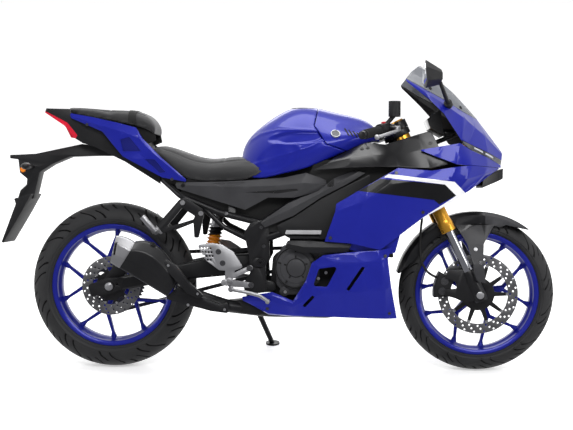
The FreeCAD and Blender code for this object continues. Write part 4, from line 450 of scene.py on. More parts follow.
skins = [
    # nodes and their rounding in metres
    ("front_rim rear_rim", 0.0012), ("front_disc rear_disc", 0.0004), ("fork_outer_tubes", 0.0008),
    ("fork_inner_tubes", 0.0006), ("fork_axle_clamps", 0.001), ("triple_clamps", 0.0012),
    ("front_axle rear_axle swingarm_pivot", 0.0006), ("engine_block", 0.004), ("engine_covers", 0.002),
    ("radiator", 0.001), ("front_caliper rear_caliper silencer_end_cap", 0.0015),
    ("foot_brackets foot_levers rider_pegs fuel_cap hand_grips", 0.001), ("windscreen", 0.0008),
    ("headlamps", 0.001), ("tail_lamp", 0.002), ("tank_front_cover", 0.0015), ("upper_cowl", 0.0014),
    ("nose_mask", 0.0012), ("airbox", 0.001), ("belly_fairing tail_side_panels", 0.0014), ("frame", 0.001),
    ("swingarm", 0.0015), ("passenger_brackets side_stand exhaust_pipe", 0.001), ("silencer", 0.0015),
    ("clip_on_bars", 0.0008), ("side_covers frame_covers front_fender upper_trim", 0.0014),
    ("rear_shock", 0.0008), ("tail_core plate_hanger", 0.0014), ("mirrors", 0.003), ("dash", 0.002),
    ("chin_intake side_slats hand_controls", 0.0012), ("rear_sprocket", 0.0004), ("side_fairings", 0.0014),
    ("inner_panels", 0.001), ("front_brake_hose", 0.0),
]
areas = {
    # node: list of (finish, sink depth in metres, least distance from the middle, corners seen from the side)
    "side_fairings": [
        ("stripeBlack", 0, 0.15, [(235, 676), (315, 721), (547, 701), (508, 645)]),
        ("stripeBlack", 0, 0.15, [(508, 645), (529, 629), (591, 661), (547, 701)]),
        ("stripeWhite", 0, 0.15, [(327, 726), (344, 738), (582, 711), (547, 701)]),
        ("stripeWhite", 0, 0.15, [(547, 701), (582, 711), (632, 666), (591, 661)]),
        ("stripeWhite", 0, 0.15, [(591, 661), (632, 666), (461, 575)]),
    ],
    "tail_side_panels": [
        # the two recesses: sunk and painted the darker blue, painted shade
        ("shadedBlue", 0.0025, 0.09, [(-652, 864), (-616, 874), (-572, 820), (-640, 818)]),
        ("shadedBlue", 0.002, 0.09, [(-560, 792), (-520, 790), (-478, 742), (-500, 738)]),
    ],
    "headlamps": [
        ("clearLens", 0.002, 0.02, [(662, 842), (700, 827), (700, 818), (662, 834)]),
        ("clearLens", 0.002, 0.02, [(708, 823), (745, 807), (745, 799), (708, 814)]),
    ],
    "inner_panels": [("lightPlastic", 0, 0.17, [(-33, 533), (105, 535), (105, 515), (-33, 515)])],
    "passenger_brackets": [("brightAlloy", 0, 0.1, [(-590, 592), (-556, 606), (-486, 516), (-520, 488)])],
    "front_fender": [
        ("greyPlastic", 0, 0.04, [(604, 516), (690, 322), (730, 322), (716, 492), (700, 560)]),
        ("greyPlastic", 0, 0.04, [(714, 500), (884, 532), (884, 548), (796, 586), (716, 604)]),
    ],
    "side_covers": [
        ("greyPlastic", 0.0015, 0.1, [(-300, 702), (-180, 706), (-200, 694), (-280, 690)]),
        ("blackPlastic", 0.002, 0.1, [(-190, 668), (10, 684), (20, 676), (-60, 664)]),
    ],
    "tail_core": [
        ("redLens", 0, 0.03, [(-952, 965), (-942, 971), (-860, 928), (-873, 911)]),
        ("redLens", 0, 0.03, [(-873, 911), (-860, 928), (-822, 882), (-829, 866), (-840, 866)]),
    ],
    # the outlet slot is sunk and painted near-black: painted shade for the depth of the outlet
    "silencer_end_cap": [("blackRubberAndShade", 0.004, 0.2, [(-644, 484), (-633, 488), (-640, 440), (-651, 436)])],
    "rear_shock": [
        ("brightAlloy", 0, 0.0, [(-350, 600), (-240, 600), (-240, 536), (-350, 536)]),
        ("darkCast", 0, 0.0, [(-350, 536), (-240, 536), (-240, 506), (-350, 506)]),
    ],
    "frame_covers": [("blackPlastic", 0.0012, 0.1, [(122, 728), (148, 726), (147, 690), (122, 690)])],
}
barLine = ((0.384, 0.1, 0.92), (0.25, 0.325, 0.874))  # middle of the left bar, mirrored for the right
controls = {"away": 0.034, "top": 0.935}  # faces further from the bar and lower than this are bare metal
# Faces of some nodes wear a second finish
wornSecond = byNode({
    "blackSteel": "front_disc rear_disc",
    "darkSteel": "engine_covers",
    "brightAlloy": "hand_controls",
    "lampLens": "dash",
    "blackPlastic": "upper_cowl nose_mask side_fairings belly_fairing tail_side_panels tank_front_cover",
})
radial = {
    # node: (x and z of the centre, radius inside which the second finish is worn) in metres
    "front_disc": (0.69, 0.293, 0.1095),
    "rear_disc": (-0.69, 0.314, 0.0715),
    "engine_covers": (0.010, 0.393, 0.031),
}
# The dash's face and the backs of the two nose panels: a normal's x is below this
backward = {"dash": -0.6, "upper_cowl": -0.35, "nose_mask": -0.35}
inner = {"normal": 0.12, "y": 0.006}  # an inner side's normal points inward by this, this far off the middle


def wearsSecond(name, face):
    spot = face.calc_center_median()
    if name in radial:
        centreX, centreZ, radius = radial[name]
        return math.hypot(spot.x - centreX, spot.z - centreZ) < radius
    if name == "hand_controls":
        foot, hand = (Vector((x, math.copysign(y, spot.y), z)) for x, y, z in barLine)
        along = (hand - foot).normalized()
        away = (spot - foot) - along * (spot - foot).dot(along)
        return away.length > controls["away"] and spot.z < controls["top"]
    isBack = name in backward and face.normal.x < backward[name]
    if name == "dash":
        return isBack
    inward = -face.normal.y * math.copysign(1, spot.y)
    return abs(spot.y) > inner["y"] and (inward > inner["normal"] or isBack)


for name, width in [(name, width) for names, width in skins for name in names.split()]:
    shape = takeNode(name)
    looksWorn = [worn.get(name, "blackPlastic")]
    for finish, depth, minimumY, corners in areas.get(name, []):
        if finish not in looksWorn:
            looksWorn.append(finish)
        markArea(shape, corners, depth, looksWorn.index(finish), minimumY)
    if name in radial:
        bmesh.ops.triangulate(shape, faces=[face for face in shape.faces if len(face.verts) > 4])
    if width:
        roundEdges(shape, width)
    if name in wornSecond:
        looksWorn.append(wornSecond[name])
        shape.normal_update()
        for face in shape.faces:
            if wearsSecond(name, face):
                face.material_index = len(looksWorn) - 1
    surfaces[name] = BVHTree.FromBMesh(shape)
    placePiece(shape, name + "_skin", body_of(nodes[name])[0], looksWorn, covers=(name,))
print("skins ready")

# Fuel tank: dense skin with the knee hollow and the creases pressed into it
tank = {
    "voxel": 0.005,
    "softenings": 4,
    "dishes": [((20, 872), (125, 26), 4, 9), ((-60, 800), (90, 50), 25, 5)],
    "creases": [
        [(-188, 850), (-130, 886), (-60, 903), (20, 900), (80, 896)],
        [(-170, 765), (-60, 800), (60, 838), (110, 868)],
    ],
    "creaseHeight": 3.0,
    "creaseWidth": 13.0,
}
shape = remeshed(takeNode("fuel_tank"), tank["voxel"], tank["softenings"])
for centre, size, turn, depth in tank["dishes"]:
    pressDish(shape, centre, size, turn, depth)
shape.normal_update()
for points in tank["creases"]:
    raiseCrease(shape, points, tank["creaseHeight"], tank["creaseWidth"])
surfaces["fuel_tank"] = BVHTree.FromBMesh(shape)
placePiece(shape, "fuel_tank_skin", body_of(nodes["fuel_tank"])[0], ["bodyBlue"], covers=("fuel_tank",),
           crease=60)
print("tank ready")

# Seats: padded covers over the moulded forms. Seams and stations (x, half width) are in millimetres.
padding = {"voxel": 0.006, "softenings": 2, "pressure": 3.0, "quality": 5, "frames": 20, "cap": 0.004,
           "underside": -0.3}
seats = {
    "rider_seat": {
        "seamShare": 0.80, "seamFrom": -500, "seamTo": -150, "cross": -262,
        "stations": [(-538, 88), (-480, 112), (-400, 126), (-307, 138), (-220, 146), (-150, 150),
                     (-100, 152)],
    },
    "pillion_seat": {
        "seamShare": 0.78, "seamFrom": -830, "seamTo": -560, "cross": -700,
        "stations": [(-866, 40), (-800, 72), (-700, 96), (-600, 104), (-548, 100), (-524, 92)],
    },
}
seam = {"depth": 0.0022, "width": 0.0065, "stitch": 0.0042, "pitch": 0.0068, "thread": 0.0012, "inset": 5.5,
        "endGap": 6, "above": 1.3, "lowest": -0.1}


def seamHalf(size, x):
    # half the width between the seams at x, in millimetres
    half = size["stations"][-1][1]
    for (lowX, lowHalf), (highX, highHalf) in zip(size["stations"], size["stations"][1:]):
        if x <= highX:
            half = lowHalf + (highHalf - lowHalf) * max(0.0, (x - lowX) / (highX - lowX))
            break
    return half * size["seamShare"]


def padSeat(name, size):
    shape = remeshed(takeNode(name), padding["voxel"], padding["softenings"])
    shape.transform(leanMatrix)
    data = makeMesh(shape, name + "_pad")
    pad = linkObject(name + "_pad", data)
    cloth = pad.modifiers.new("stuffing", "CLOTH")
    cloth.settings.use_pressure = True
    cloth.settings.uniform_pressure_force = padding["pressure"]
    cloth.settings.effector_weights.gravity = 0
    cloth.settings.quality = padding["quality"]
    for frameNumber in range(1, padding["frames"] + 1):
        bpy.context.scene.frame_set(frameNumber)
    swollen = finishedShape(pad)
    pad.modifiers.clear()
    for vert, end in zip(data.vertices, swollen.verts):
        move = end.co - vert.co
        if move.length > padding["cap"]:
            move = move.normalized() * padding["cap"]
        if vert.normal.z > padding["underside"]:
            vert.co += move
    swollen.free()
    bpy.context.scene.frame_set(1)
    dense = pad.modifiers.new("dense", "SUBSURF")
    dense.levels = 1
    dense.render_levels = 1
    shape = finishedShape(pad)
    pad.modifiers.clear()
    shape.transform(leanMatrix.inverted())
    shape.normal_update()
    for vert in shape.verts:
        if vert.normal.z < seam["lowest"]:
            continue
        x, y = vert.co.x * 1000, vert.co.y * 1000
        half = seamHalf(size, x)
        gaps = []
        if size["seamFrom"] < x < size["seamTo"]:
            gaps.append(abs(abs(y) - half) / 1000)
        if abs(y) < half:
            gaps.append(abs(x - size["cross"]) / 1000)
        nearest = min(gaps, default=1)
        if nearest < seam["width"]:
            share = 1 - nearest / seam["width"]
            vert.co -= vert.normal * seam["depth"] * share * share * (3 - 2 * share)
    surfaces[name] = BVHTree.FromBMesh(shape)
    for face in shape.faces:
        face.smooth = True
    shape.transform(leanMatrix)
    shape.to_mesh(data)
    shape.free()
    data.materials.append(finishes["seatCover"])
    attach(pad, body_of(nodes[name])[0])
    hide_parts(name)


for name, size in seats.items():
    padSeat(name, size)
print("seats ready")


# Seating of small pieces


def touch(start, direction, names):
    # where a line from start first meets the named skins: place, outward normal and name
    direction = Vector(direction).normalized()
    hits = []
    for name in names.split():
        spot, normal, index, far = surfaces[name].ray_cast(Vector(start), direction)
        if spot is not None:
            hits.append((far, spot, -normal if normal.dot(direction) > 0 else normal, name))
    return min(hits, key=lambda hit: hit[0])[1:] if hits else None


def touchSide(x, z, side, names):
    return touch((x / 1000, side * 0.7, z / 1000), (0, -side, 0), names)


def standAt(place, outward):
    return Matrix.Translation(place) @ Vector(outward).to_track_quat("Z", "Y").to_matrix().to_4x4()


def addCap(shape, place, outward, sides, radius, taper, height, lift=0.0):
    # a round cap on a seat; gives back its top face
    stand = standAt(place, outward) @ Matrix.Translation((0, 0, lift))
    made = bmesh.ops.create_cone(shape, cap_ends=True, segments=sides, radius1=radius, radius2=radius * taper,
                                 depth=height, matrix=stand)
    faces = {face for vert in made["verts"] for face in vert.link_faces if len(face.verts) == sides}
    return max(faces, key=lambda face: face.calc_center_median().dot(outward))


def hollowTop(shape, top, rim, wall, depth):
    top.normal_update()
    bmesh.ops.inset_region(shape, faces=[top], thickness=rim, depth=0)
    bmesh.ops.inset_region(shape, faces=[top], thickness=wall, depth=-depth)


bolt = {"sides": 18, "taper": 0.9, "length": 1.6, "raise": 0.2, "rim": 0.38, "wall": 0.06, "socket": 0.7,
        "washerSides": 20, "washerTaper": 0.93, "washerHeight": 0.003}


def addBolt(shape, place, outward, radius, height, washer=0.0, socket=True):
    if washer:
        addCap(shape, place, outward, bolt["washerSides"], washer, bolt["washerTaper"], bolt["washerHeight"])
    top = addCap(shape, place, outward, bolt["sides"], radius, bolt["taper"], height * bolt["length"],
                 height * bolt["raise"])
    if socket:
        hollowTop(shape, top, radius * bolt["rim"], radius * bolt["wall"], height * bolt["socket"])


clutch = {"centre": (10, 393), "rings": [(0.0745, 0.0024), (0.0335, 0.002)], "ribs": 5, "reach": (37, 70),
          "firstTurn": 0.35, "seatAt": (0.7, 0.714), "ribWidth": 0.006, "ribHeight": 0.004, "round": 0.0008}


def clutchSpot(turn, far):
    return clutch["centre"][0] + far * math.cos(turn), clutch["centre"][1] + far * math.sin(turn)


both, right = (-1, 1), (-1,)
fasteners = {
    # piece: finish, radius, head height and washer radius in millimetres, sides, {nodes: spots (x, z)}
    "fender_bolts": ("brightSteel", 5.5, 3.5, 7.5, both, {"front_fender": [(675, 462), (691, 414)]}),
    "screen_screws": ("blackRubberAndShade", 4.5, 2.5, 7.0, both, {
        "windscreen": [(500, 1056), (562, 1024), (618, 990)],
    }),
    "cover_bolts": ("blackSteel", 5.0, 3.0, 8.0, both, {
        "side_covers": [(-413, 693)], "frame_covers": [(134, 699)],
        "upper_trim": [(271, 836), (250, 832), (497, 852)],
    }),
    "fairing_bolts": ("darkSteel", 4.5, 2.5, 6.5, both, {
        "side_fairings": [(135, 505), (372, 742), (470, 600)],
        "belly_fairing": [(335, 440), (355, 225), (-95, 240)],
    }),
    "bracket_bolts": ("brightSteel", 7.0, 4.0, 9.5, both, {
        "passenger_brackets frame": [(-412, 629), (-344, 590)],
    }),
    "plate_bolts": ("darkSteel", 7.0, 4.0, 11.0, both, {
        "foot_brackets": [(-276, 450), (-260, 408), (-162, 390), (-155, 328)],
    }),
    "caliper_caps": ("darkSteel", 13.0, 3.0, 15.5, right, {"front_caliper": [(561, 342), (553, 305)]}),
    "pivot_bolts": ("blackSteel", 11.0, 5.0, 17.0, both, {"swingarm_pivot frame": [(-122, 410)]}),
    "silencer_bolts": ("blackSteel", 8.0, 4.0, 13.0, right, {"passenger_brackets silencer": [(-508, 478)]}),
    "shield_bolts": ("brightSteel", 3.6, 2.2, 5.0, right, {
        "exhaust_pipe": [(-384, 256), (-250, 240)], "silencer": [(-452, 402), (-345, 300)],
    }),
    "clutch_bolts": ("darkSteel", 4.6, 4.0, 6.2, right, {
        "engine_covers": [(85, 420), (50, 462), (-4, 472), (-51, 444), (-51, 342), (-4, 314), (50, 324),
                          (85, 366)],
    }),
    "engine_bolts": ("brightSteel", 4.6, 4.0, 6.2, both, {
        "engine_block engine_covers": [(120, 372), (49, 281), (-30, 302), (92, 352)],
    }),
    "brace_bolts": ("darkSteel", 5.0, 3.0, 7.0, both, {
        "frame": [(-250, 590), (-120, 540), (-110, 470), (240, 640)],
    }),
    "tail_bolts": ("darkSteel", 4.0, 2.0, 6.0, both, {
        "tail_side_panels tail_core": [(-780, 920), (-455, 716)],
    }),
}
for name, (finish, radius, height, washer, sides, places) in fasteners.items():
    shape = bmesh.new()
    body = None
    wanted = [(on, *spot, side) for on, spots in places.items() for spot in spots for side in sides]
    for on, x, z, side in wanted:
        found = touchSide(x, z, side, on)
        if found:
            place, outward, node = found
            body = body_of(nodes[node])[0]
            addBolt(shape, place, outward, radius / 1000, height / 1000, washer / 1000)
    placePiece(shape, name, body, [finish], crease=30)
print("fasteners ready")

# Brake discs: studs between the carrier and the ring
studs = {
    # node: centre x and z, ring radius in millimetres, stud radius in metres
    "front_disc": (690, 293, 109, 0.0058),
    "rear_disc": (-690, 314, 67, 0.0046),
}
studCount, studHeight = 10, 0.0016
for node, (centreX, centreZ, ring, radius) in studs.items():
    shape = bmesh.new()
    for i in range(studCount):
        turn = 2 * math.pi * i / studCount
        found = touchSide(centreX + ring * math.cos(turn), centreZ + ring * math.sin(turn), -1, node)
        if found:
            addBolt(shape, found[0], Vector((0, -1, 0)), radius, studHeight)
    placePiece(shape, node + "_studs", body_of(nodes[node])[0], ["brightSteel"], crease=30)


# Clutch cover: a rim ring, a hub ring and ribs between them, all near-black: painted shade standing in for
# the cover's dark grooves


def addRing(shape, centre, axis, radius, tube, around=64, section=8):
    start = Matrix.Translation((radius, 0, 0)) @ Matrix.Rotation(math.pi / 2, 4, "X")
    made = bmesh.ops.create_circle(shape, segments=section, radius=tube, matrix=standAt(centre, axis) @ start)
    edges = list({edge for vert in made["verts"] for edge in vert.link_edges})
    bmesh.ops.spin(shape, geom=made["verts"] + edges, cent=centre, axis=axis, angle=2 * math.pi, steps=around,
                   use_merge=True)


def addBox(shape, middle, axes, size):
    # a box with its three sides along the axes
    stand = Matrix.Translation(middle) @ Matrix(axes).transposed().to_4x4()
    bmesh.ops.create_cube(shape, size=1.0, matrix=stand @ Matrix.Diagonal((*size, 1)))


shape = bmesh.new()
for radius, tube in clutch["rings"]:
    spot = [middle + radius * 1000 * share for middle, share in zip(clutch["centre"], clutch["seatAt"])]
    found = touchSide(*spot, -1, "engine_covers")
    centreX, centreZ = clutch["centre"]
    addRing(shape, (centreX / 1000, found[0].y, centreZ / 1000), (0, 1, 0), radius, tube)
for i in range(clutch["ribs"]):
    turn = 2 * math.pi * i / clutch["ribs"] + clutch["firstTurn"]
    start, end = (touchSide(*clutchSpot(turn, far), -1, "engine_covers")[0] for far in clutch["reach"])
    run = end - start
    along = run.normalized()
    outward = Vector((0, -1, 0))
    addBox(shape, (start + end) / 2, (along, outward.cross(along).normalized(), outward),
           (run.length, clutch["ribWidth"], clutch["ribHeight"]))
faceOut(shape)
roundEdges(shape, clutch["round"], sharp=60)
placePiece(shape, "clutch_ribs", body_of(nodes["engine_covers"])[0], ["blackRubberAndShade"], crease=45)

# Grips: ribs round the rubber
grips = {"radius": 0.0169, "tube": 0.0009, "count": 15, "from": 0.012, "pitch": 0.0068}
shape = bmesh.new()
for side in (-1, 1):
    foot, hand = (Vector((x, side * y, z)) for x, y, z in barLine)
    along = (foot - hand).normalized()
    for i in range(grips["count"]):
        middle = hand + along * (grips["from"] + grips["pitch"] * i)
        addRing(shape, middle, along, grips["radius"], grips["tube"], around=24, section=6)
faceOut(shape)
placePiece(shape, "grip_ribs", "steering", ["gripRubber"], crease=60)

# Red stop switch on the right bar
switch = {"share": 0.44, "size": (0.016, 0.011, 0.006), "lift": 0.002, "round": 0.0012, "above": 0.3}
shape = bmesh.new()
foot, hand = (Vector((x, -y, z)) for x, y, z in barLine)
along = (hand - foot).normalized()
spot = foot.lerp(hand, switch["share"]) + Vector((0, 0, switch["above"]))
place, upward, node = touch(spot, (0, 0, -1), "hand_controls")
across = upward.cross(along).normalized()
addBox(shape, place + upward * switch["lift"], (along, across, upward), switch["size"])
roundEdges(shape, switch["round"])
placePiece(shape, "stop_switch", "steering", ["switchRed"])


def addPlate(shape, corners, move):
    # a flat face through the corners, grown into a plate along the move
    face = shape.faces.new([shape.verts.new(corner) for corner in corners])
    grown = bmesh.ops.extrude_face_region(shape, geom=[face])
    verts = [part for part in grown["geom"] if isinstance(part, bmesh.types.BMVert)]
    bmesh.ops.translate(shape, verts=verts, vec=move)


# Mirror glass, seen from the rider's seat as (y, z) in millimetres
mirror = {
    "outline": [(244.96, 1066.8), (255.28, 1114.68), (334.4, 1125.6), (352.46, 1106.28), (348.16, 1068.48),
                (253.56, 1056.72)],
    "fromX": 0.3, "gap": 0.0006, "thickness": 0.0015,
}
shape = bmesh.new()
for side in (-1, 1):
    seen = [touch((mirror["fromX"], side * y / 1000, z / 1000), (1, 0, 0), "mirrors")
            for y, z in mirror["outline"]]
    corners = [found[0] - Vector((mirror["gap"], 0, 0)) for found in seen if found]
    if len(corners) > 3:
        addPlate(shape, corners, (-mirror["thickness"], 0, 0))
faceOut(shape)
placePiece(shape, "mirror_glass", "chassis", ["mirrorGlass"])

# Reflectors on the plate hanger
reflector = {"place": (-1040, 752), "radius": 0.0115, "height": 0.004}
shape = bmesh.new()
for side in (-1, 1):
    found = touchSide(*reflector["place"], side, "plate_hanger")
    if found:
        addBolt(shape, found[0], Vector((0, side, 0)), reflector["radius"], reflector["height"], socket=False)
placePiece(shape, "side_reflectors", "chassis", ["amberLens"], crease=30)
print("small parts ready")

# Drive chain: links along the CAD loop
chain = {"y": 0.082, "width": 0.017, "pitch": 0.015875, "plate": 0.0022, "height": 0.0145, "roller": 0.00508,
         "front": (-0.03, 0.415), "rear": (-0.69, 0.314), "frontRadius": 0.038, "rearRadius": 0.1087,
         "play": 1.05, "endShare": 0.46, "bends": (-72, -36, 0, 36, 72), "rollerSides": 10}


def chainLegs():
    # the four legs of the loop: length, and the place (x, z) at a distance along the leg
    front, rear = Vector(chain["front"]), Vector(chain["rear"])
    small, large = chain["frontRadius"], chain["rearRadius"]
    span = front - rear
    tilt = math.asin((large - small) / span.length)
    base = math.atan2(span.y, span.x)
    straight = span.length * math.cos(tilt)
    top, low = base + math.pi / 2 - tilt, base - math.pi / 2 + tilt

    def onArc(centre, radius, turn):
        return centre + Vector((math.cos(turn), math.sin(turn))) * radius

    return [
        (straight, lambda far: onArc(rear, large, top).lerp(onArc(front, small, top), far / straight)),
        (small * (math.pi - 2 * tilt), lambda far: onArc(front, small, top - far / small)),
        (straight, lambda far: onArc(front, small, low).lerp(onArc(rear, large, low), far / straight)),
        (large * (math.pi + 2 * tilt), lambda far: onArc(rear, large, low - far / large)),
    ]


def chainSpot(far):
    far %= chainLength
    for length, placeAt in legs:
        if far < length:
            return placeAt(far)
        far -= length
    return placeAt(far + length)


shape = bmesh.new()
legs = chainLegs()
chainLength = sum(length for length, placeAt in legs)
linkCount = 2 * round(chainLength / chain["pitch"] / 2)
pitch = chainLength / linkCount
for i in range(linkCount):
    here, ahead = chainSpot(i * pitch), chainSpot((i + 1) * pitch)
    middle = (here + ahead) / 2
    run = ahead - here
    turn = math.atan2(run.y, run.x)
    reach = chain["width"] / 2 - (0.0 if i % 2 else chain["plate"] * chain["play"])
    outline = []
    for end in (1, -1):
        for bend in map(math.radians, chain["bends"]):
            outline.append((end * (pitch / 2 + chain["height"] * chain["endShare"] * math.cos(bend)),
                            end * chain["height"] / 2 * math.sin(bend)))
    for side in (-1, 1):
        y = chain["y"] + side * (reach - chain["plate"] / 2)
        place = Matrix.Translation((middle.x, y, middle.y)) @ Matrix.Rotation(-turn, 4, "Y")
        corners = [place @ Vector((a, -chain["plate"] / 2, b)) for a, b in outline]
        addPlate(shape, corners, (0, chain["plate"], 0))
    pin = Matrix.Translation((here.x, chain["y"], here.y)) @ Matrix.Rotation(math.pi / 2, 4, "X")
    bmesh.ops.create_cone(shape, cap_ends=True, segments=chain["rollerSides"], radius1=chain["roller"],
                          radius2=chain["roller"], depth=chain["width"], matrix=pin)
faceOut(shape)
placePiece(shape, "drive_chain_links", body_of(nodes["drive_chain"])[0], ["darkSteel"],
           covers=("drive_chain",), crease=30)
print("chain ready,", linkCount, "links")

# Painted shade: near-black sheets behind the gaps between the body panels, standing in for the shade inside
# the gaps, and blue strips behind the fairing's seam
shadeSheetsAndStrips = {
    # piece: finish, distance from the middle and thickness in metres, outline (x, z) in millimetres
    "under_tank_liner": ("blackRubberAndShade", 0.119, 0.0025, [
        (-428, 655), (-280, 598), (-140, 556), (-100, 560), (-60, 600), (40, 640), (120, 690), (210, 742),
        (300, 800), (300, 855), (199, 835), (119, 800), (48, 775), (-33, 758), (-131, 742), (-200, 738),
        (-390, 738),
    ]),
    "upper_fairing_liner": ("blackRubberAndShade", 0.152, 0.0025, [
        (20, 650), (115, 610), (150, 640), (270, 700), (378, 738), (600, 742), (612, 772), (600, 788),
        (375, 786), (117, 790), (70, 770),
    ]),
    "frame_liner": ("blackRubberAndShade", 0.151, 0.0025, [
        (-96, 520), (-90, 566), (20, 640), (110, 690), (215, 735), (230, 700), (120, 610), (20, 540),
    ]),
    "seat_liner": ("blackRubberAndShade", 0.088, 0.0025, [
        (-504, 726), (-430, 735), (-412, 700), (-440, 668), (-482, 704),
    ]),
    "tail_liner": ("blackRubberAndShade", 0.082, 0.0025, [
        (-660, 936), (-560, 928), (-530, 900), (-522, 862), (-575, 840), (-620, 880),
    ]),
    "fairing_strips": ("bodyBlue", 0.188, 0.003, [
        (206, 500), (392, 528), (372, 452), (310, 436), (206, 462),
    ]),
}
for name, (finish, half, thickness, outline) in shadeSheetsAndStrips.items():
    shape = bmesh.new()
    for side in (-1, 1):
        corners = [(x / 1000, side * half, z / 1000) for x, z in outline]
        addPlate(shape, corners, (0, -side * thickness, 0))
    faceOut(shape)
    bmesh.ops.triangulate(shape, faces=shape.faces)
    placePiece(shape, name, "chassis", [finish])


# Pillion strap, seat stitches, slots and badge rings


def makeBands(bands, size):
    # bands: each a list of rows of what touch found, joined into a strip where a row is whole
    shape = bmesh.new()
    lift = size["lift"]
    for rows in bands:
        grid = [[shape.verts.new(found[0] + found[1] * lift) for found in row] for row in rows if all(row)]
        for one, two in zip(grid, grid[1:]):
            for a, b, c, d in zip(one, one[1:], two[1:], two):
                shape.faces.new((a, b, c, d))
    faceOut(shape)
    bmesh.ops.solidify(shape, geom=shape.faces[:], thickness=size["thickness"])
    faceOut(shape)
    return shape


strap = {"from": -624, "to": -595, "columns": 5, "rows": 41, "core": 925, "reach": 103, "thickness": 0.0034,
         "lift": 0.0026, "outside": 0.4}
rows = []
for i in range(strap["rows"]):
    turn = math.radians(-strap["reach"] + 2 * strap["reach"] * i / (strap["rows"] - 1))
    away = Vector((0, math.sin(turn), math.cos(turn)))
    row = []
    for j in range(strap["columns"]):
        x = strap["from"] + (strap["to"] - strap["from"]) * j / (strap["columns"] - 1)
        core = Vector((x / 1000, 0, strap["core"] / 1000))
        row.append(touch(core + away * strap["outside"], -away, "pillion_seat"))
    rows.append(row)
body = body_of(nodes["pillion_seat"])[0]
placePiece(makeBands([rows], strap), "pillion_strap", body, ["gripRubber"], crease=50)

shape = bmesh.new()
for name, size in seats.items():
    x = size["seamFrom"] + seam["endGap"]
    while x < size["seamTo"] - seam["endGap"]:
        for side in (-1, 1):
            y = side * (seamHalf(size, x) - seam["inset"])
            found = touch((x / 1000, y / 1000, seam["above"]), (0, 0, -1), name)
            ahead = touch((x / 1000 + seam["stitch"], y / 1000, seam["above"]), (0, 0, -1), name)
            if found and ahead:
                run = (ahead[0] - found[0]).normalized()
                away = found[1]
                addBox(shape, (found[0] + ahead[0]) / 2, (run, away.cross(run), away),
                       (seam["stitch"], seam["thread"], seam["thread"]))
        x += seam["pitch"] * 1000
placePiece(shape, "seat_stitches", "chassis", ["stitchGrey"], crease=60)

# Slots of the tank's front cover: near-black inlays laid on the surface, painted shade standing in for the
# open slots, from their upper to their lower ends
slots = {"count": 4, "upper": (186, 908), "upperStep": (15, -5), "lower": (202, 880), "lowerStep": (15, -3),
         "half": 3.0, "rows": 7, "lift": 0.0005, "thickness": 0.001}
bands = []
for side in (-1, 1):
    for i in range(slots["count"]):
        upper = Vector(slots["upper"]) + i * Vector(slots["upperStep"])
        lower = Vector(slots["lower"]) + i * Vector(slots["lowerStep"])
        rows = []
        for j in range(slots["rows"]):
            middle = upper.lerp(lower, j / (slots["rows"] - 1))
            rows.append([touchSide(middle.x + edge * slots["half"], middle.y, side, "tank_front_cover")
                         for edge in (-1, 1)])
        bands.append(rows)
placePiece(makeBands(bands, slots), "tank_slots", "chassis", ["blackRubberAndShade"], crease=50)

badge = {"place": (152, 886), "radius": 0.0185, "taper": 0.94, "height": 0.008, "sides": 40, "rim": 0.0022,
         "slope": 0.0012, "dish": 0.0018}
shape = bmesh.new()
for side in (-1, 1):
    found = touchSide(*badge["place"], side, "tank_front_cover")
    if found:
        top = addCap(shape, *found[:2], badge["sides"], badge["radius"], badge["taper"], badge["height"])
        hollowTop(shape, top, badge["rim"], badge["slope"], badge["dish"])
        top.material_index = 1
placePiece(shape, "badge_rings", "chassis", ["brightAlloy", "darkSteel"], crease=30)
print("trim ready")


# Tyres

tyres = {
    "front": {"x": 0.69, "radius": 0.293, "crown": 0.056, "half": 0.055, "rimHalf": 0.0381, "repeats": 24},
    "rear": {"x": -0.69, "radius": 0.314, "crown": 0.070, "half": 0.070, "rimHalf": 0.0508, "repeats": 22},
}
sidewall = {
    "edge": 0.985,  # the tread ends at this share of the tyre's half width
    "swell": 0.0035,
    "ring": 0.0009,
    "steps": [(0.10, 0), (0.16, 1), (0.20, 0), (0.32, 0), (0.5, 0), (0.55, 1), (0.6, 0), (0.78, 0), (0.84, 1),
              (0.9, 0)],  # share of the way down to the rim, and whether a ring stands there
    "overhang": 0.0015,
    "flangeRadius": 0.2308,
    "beadRadius": 0.2195,
    "beadInsets": (0.002, 0.013),
}
tread = {
    "rows": 10,
    "columns": [0.0, 0.10, 0.24, 0.38, 0.5, 0.62, 0.75, 0.88],  # where the columns of one repeat lie
    "lead": (0.30, 1.2, 0.035, 7),  # how far the grooves sweep round as they near the edge
    "lowest": 0.12,
    "wall": 0.0005,
    "depth": 0.0038,
    # column: reach of the grooves towards the edge, on short and on long repeats
    "grooves": {0: ((0.44, 0.96), (0.17, 0.74)), 4: ((0.62, 0.96), (0.30, 0.55))},
}


def tyreOutline(size, crownCentre, widest):
    # (y, radius) from the crown's middle down to the bead
    outline = []
    for i in range(tread["rows"] + 1):
        turn = widest * i / tread["rows"]
        outline.append((size["crown"] * math.sin(turn), crownCentre + size["crown"] * math.cos(turn)))
    shoulder = outline[-1]
    flange = (size["rimHalf"] + sidewall["overhang"], sidewall["flangeRadius"])
    for share, ring in sidewall["steps"]:
        swell = sidewall["swell"] * math.sin(math.pi * share) + sidewall["ring"] * ring
        outline.append((shoulder[0] + (flange[0] - shoulder[0]) * share + swell,
                        shoulder[1] + (flange[1] - shoulder[1]) * share))
    bead = [(size["rimHalf"] - inset, sidewall["beadRadius"]) for inset in sidewall["beadInsets"]]
    return outline + [flange] + bead


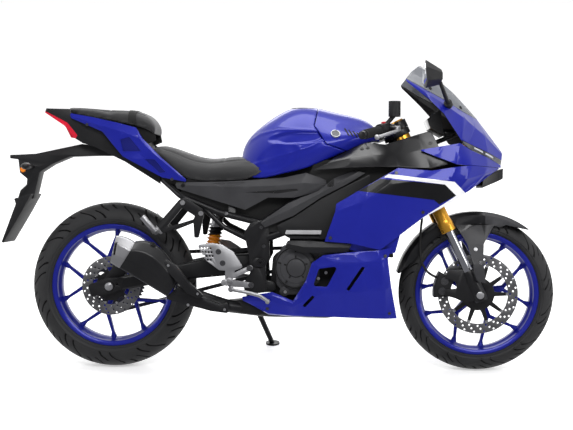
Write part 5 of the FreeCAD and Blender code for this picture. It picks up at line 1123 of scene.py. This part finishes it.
def makeTyre(which):
    size = tyres[which]
    crownCentre = size["radius"] - size["crown"]
    widest = math.asin(min(1.0, size["half"] / size["crown"]) * sidewall["edge"])
    outline = tyreOutline(size, crownCentre, widest)
    full = [(-y, r) for y, r in reversed(outline[1:])] + outline
    shape = bmesh.new()
    verts = [shape.verts.new((0, y, r)) for y, r in full]
    edges = [shape.edges.new(pair) for pair in zip(verts, verts[1:])]
    columns = len(tread["columns"])
    steps = size["repeats"] * columns
    bmesh.ops.spin(shape, geom=verts + edges, cent=(0, 0, 0), axis=(0, 1, 0), angle=2 * math.pi, steps=steps,
                   use_merge=True)
    step = 2 * math.pi / steps
    grooves = []
    for face in shape.faces:
        spot = face.calc_center_median()
        if math.hypot(spot.x, spot.z) < crownCentre + size["crown"] * tread["lowest"]:
            continue
        index = int(math.atan2(spot.x, spot.z) % (2 * math.pi) / step) % steps
        reach = math.asin(min(1.0, abs(spot.y) / size["crown"])) / widest
        repeat, column = divmod(index, columns)
        if column in tread["grooves"]:
            isLong = (repeat + (spot.y >= 0)) % 2
            near, far = tread["grooves"][column][isLong]
            if near < reach < far:
                grooves.append(face)
    bend, power, wave, waves = tread["lead"]
    moved = {}
    for vert in shape.verts:
        turn = math.atan2(vert.co.x, vert.co.z) % (2 * math.pi)
        repeat, column = divmod(round(turn / step) % steps, columns)
        reach = min(1.0, abs(vert.co.y) / size["half"])
        lead = bend * reach ** power + wave * math.sin(reach * waves)
        wanted = (repeat + tread["columns"][column]) * columns * step + lead
        radius = math.hypot(vert.co.x, vert.co.z)
        moved[vert] = (radius * math.sin(wanted), vert.co.y, radius * math.cos(wanted))
    for vert, place in moved.items():
        vert.co = place
    shape.normal_update()
    faceOut(shape)
    bmesh.ops.inset_region(shape, faces=grooves, thickness=tread["wall"], depth=-tread["depth"],
                           use_even_offset=True, use_boundary=True)
    # the grooves are sunk and painted the darker rubber, painted shade
    for face in grooves:
        face.material_index = 1
    bmesh.ops.translate(shape, verts=shape.verts, vec=(size["x"], 0, size["radius"]))
    return shape


for which in ("front", "rear"):
    placePiece(makeTyre(which), which + "_tread", which + "_wheel", ["tyreRubber", "grooveShade"],
               covers=(which + "_tyre",))
print("tyres ready")

# Floor
shape = bmesh.new()
bmesh.ops.create_grid(shape, x_segments=1, y_segments=1, size=studio["floorSize"])
floorData = makeMesh(shape, "studioFloor")
floor = linkObject("studioFloor", floorData)
floorLook = plainFinish("floorPaint", look(studio["floorColour"], 0.6, grain=0.02, mottle=0.01))
floorShader = floorLook.node_tree.nodes["Principled BSDF"]
floorShader.inputs["Emission Color"].default_value = (1, 1, 1, 1)
floorShader.inputs["Emission Strength"].default_value = studio["floorGlow"]
floorData.materials.append(floorLook)
floor.visible_glossy = False
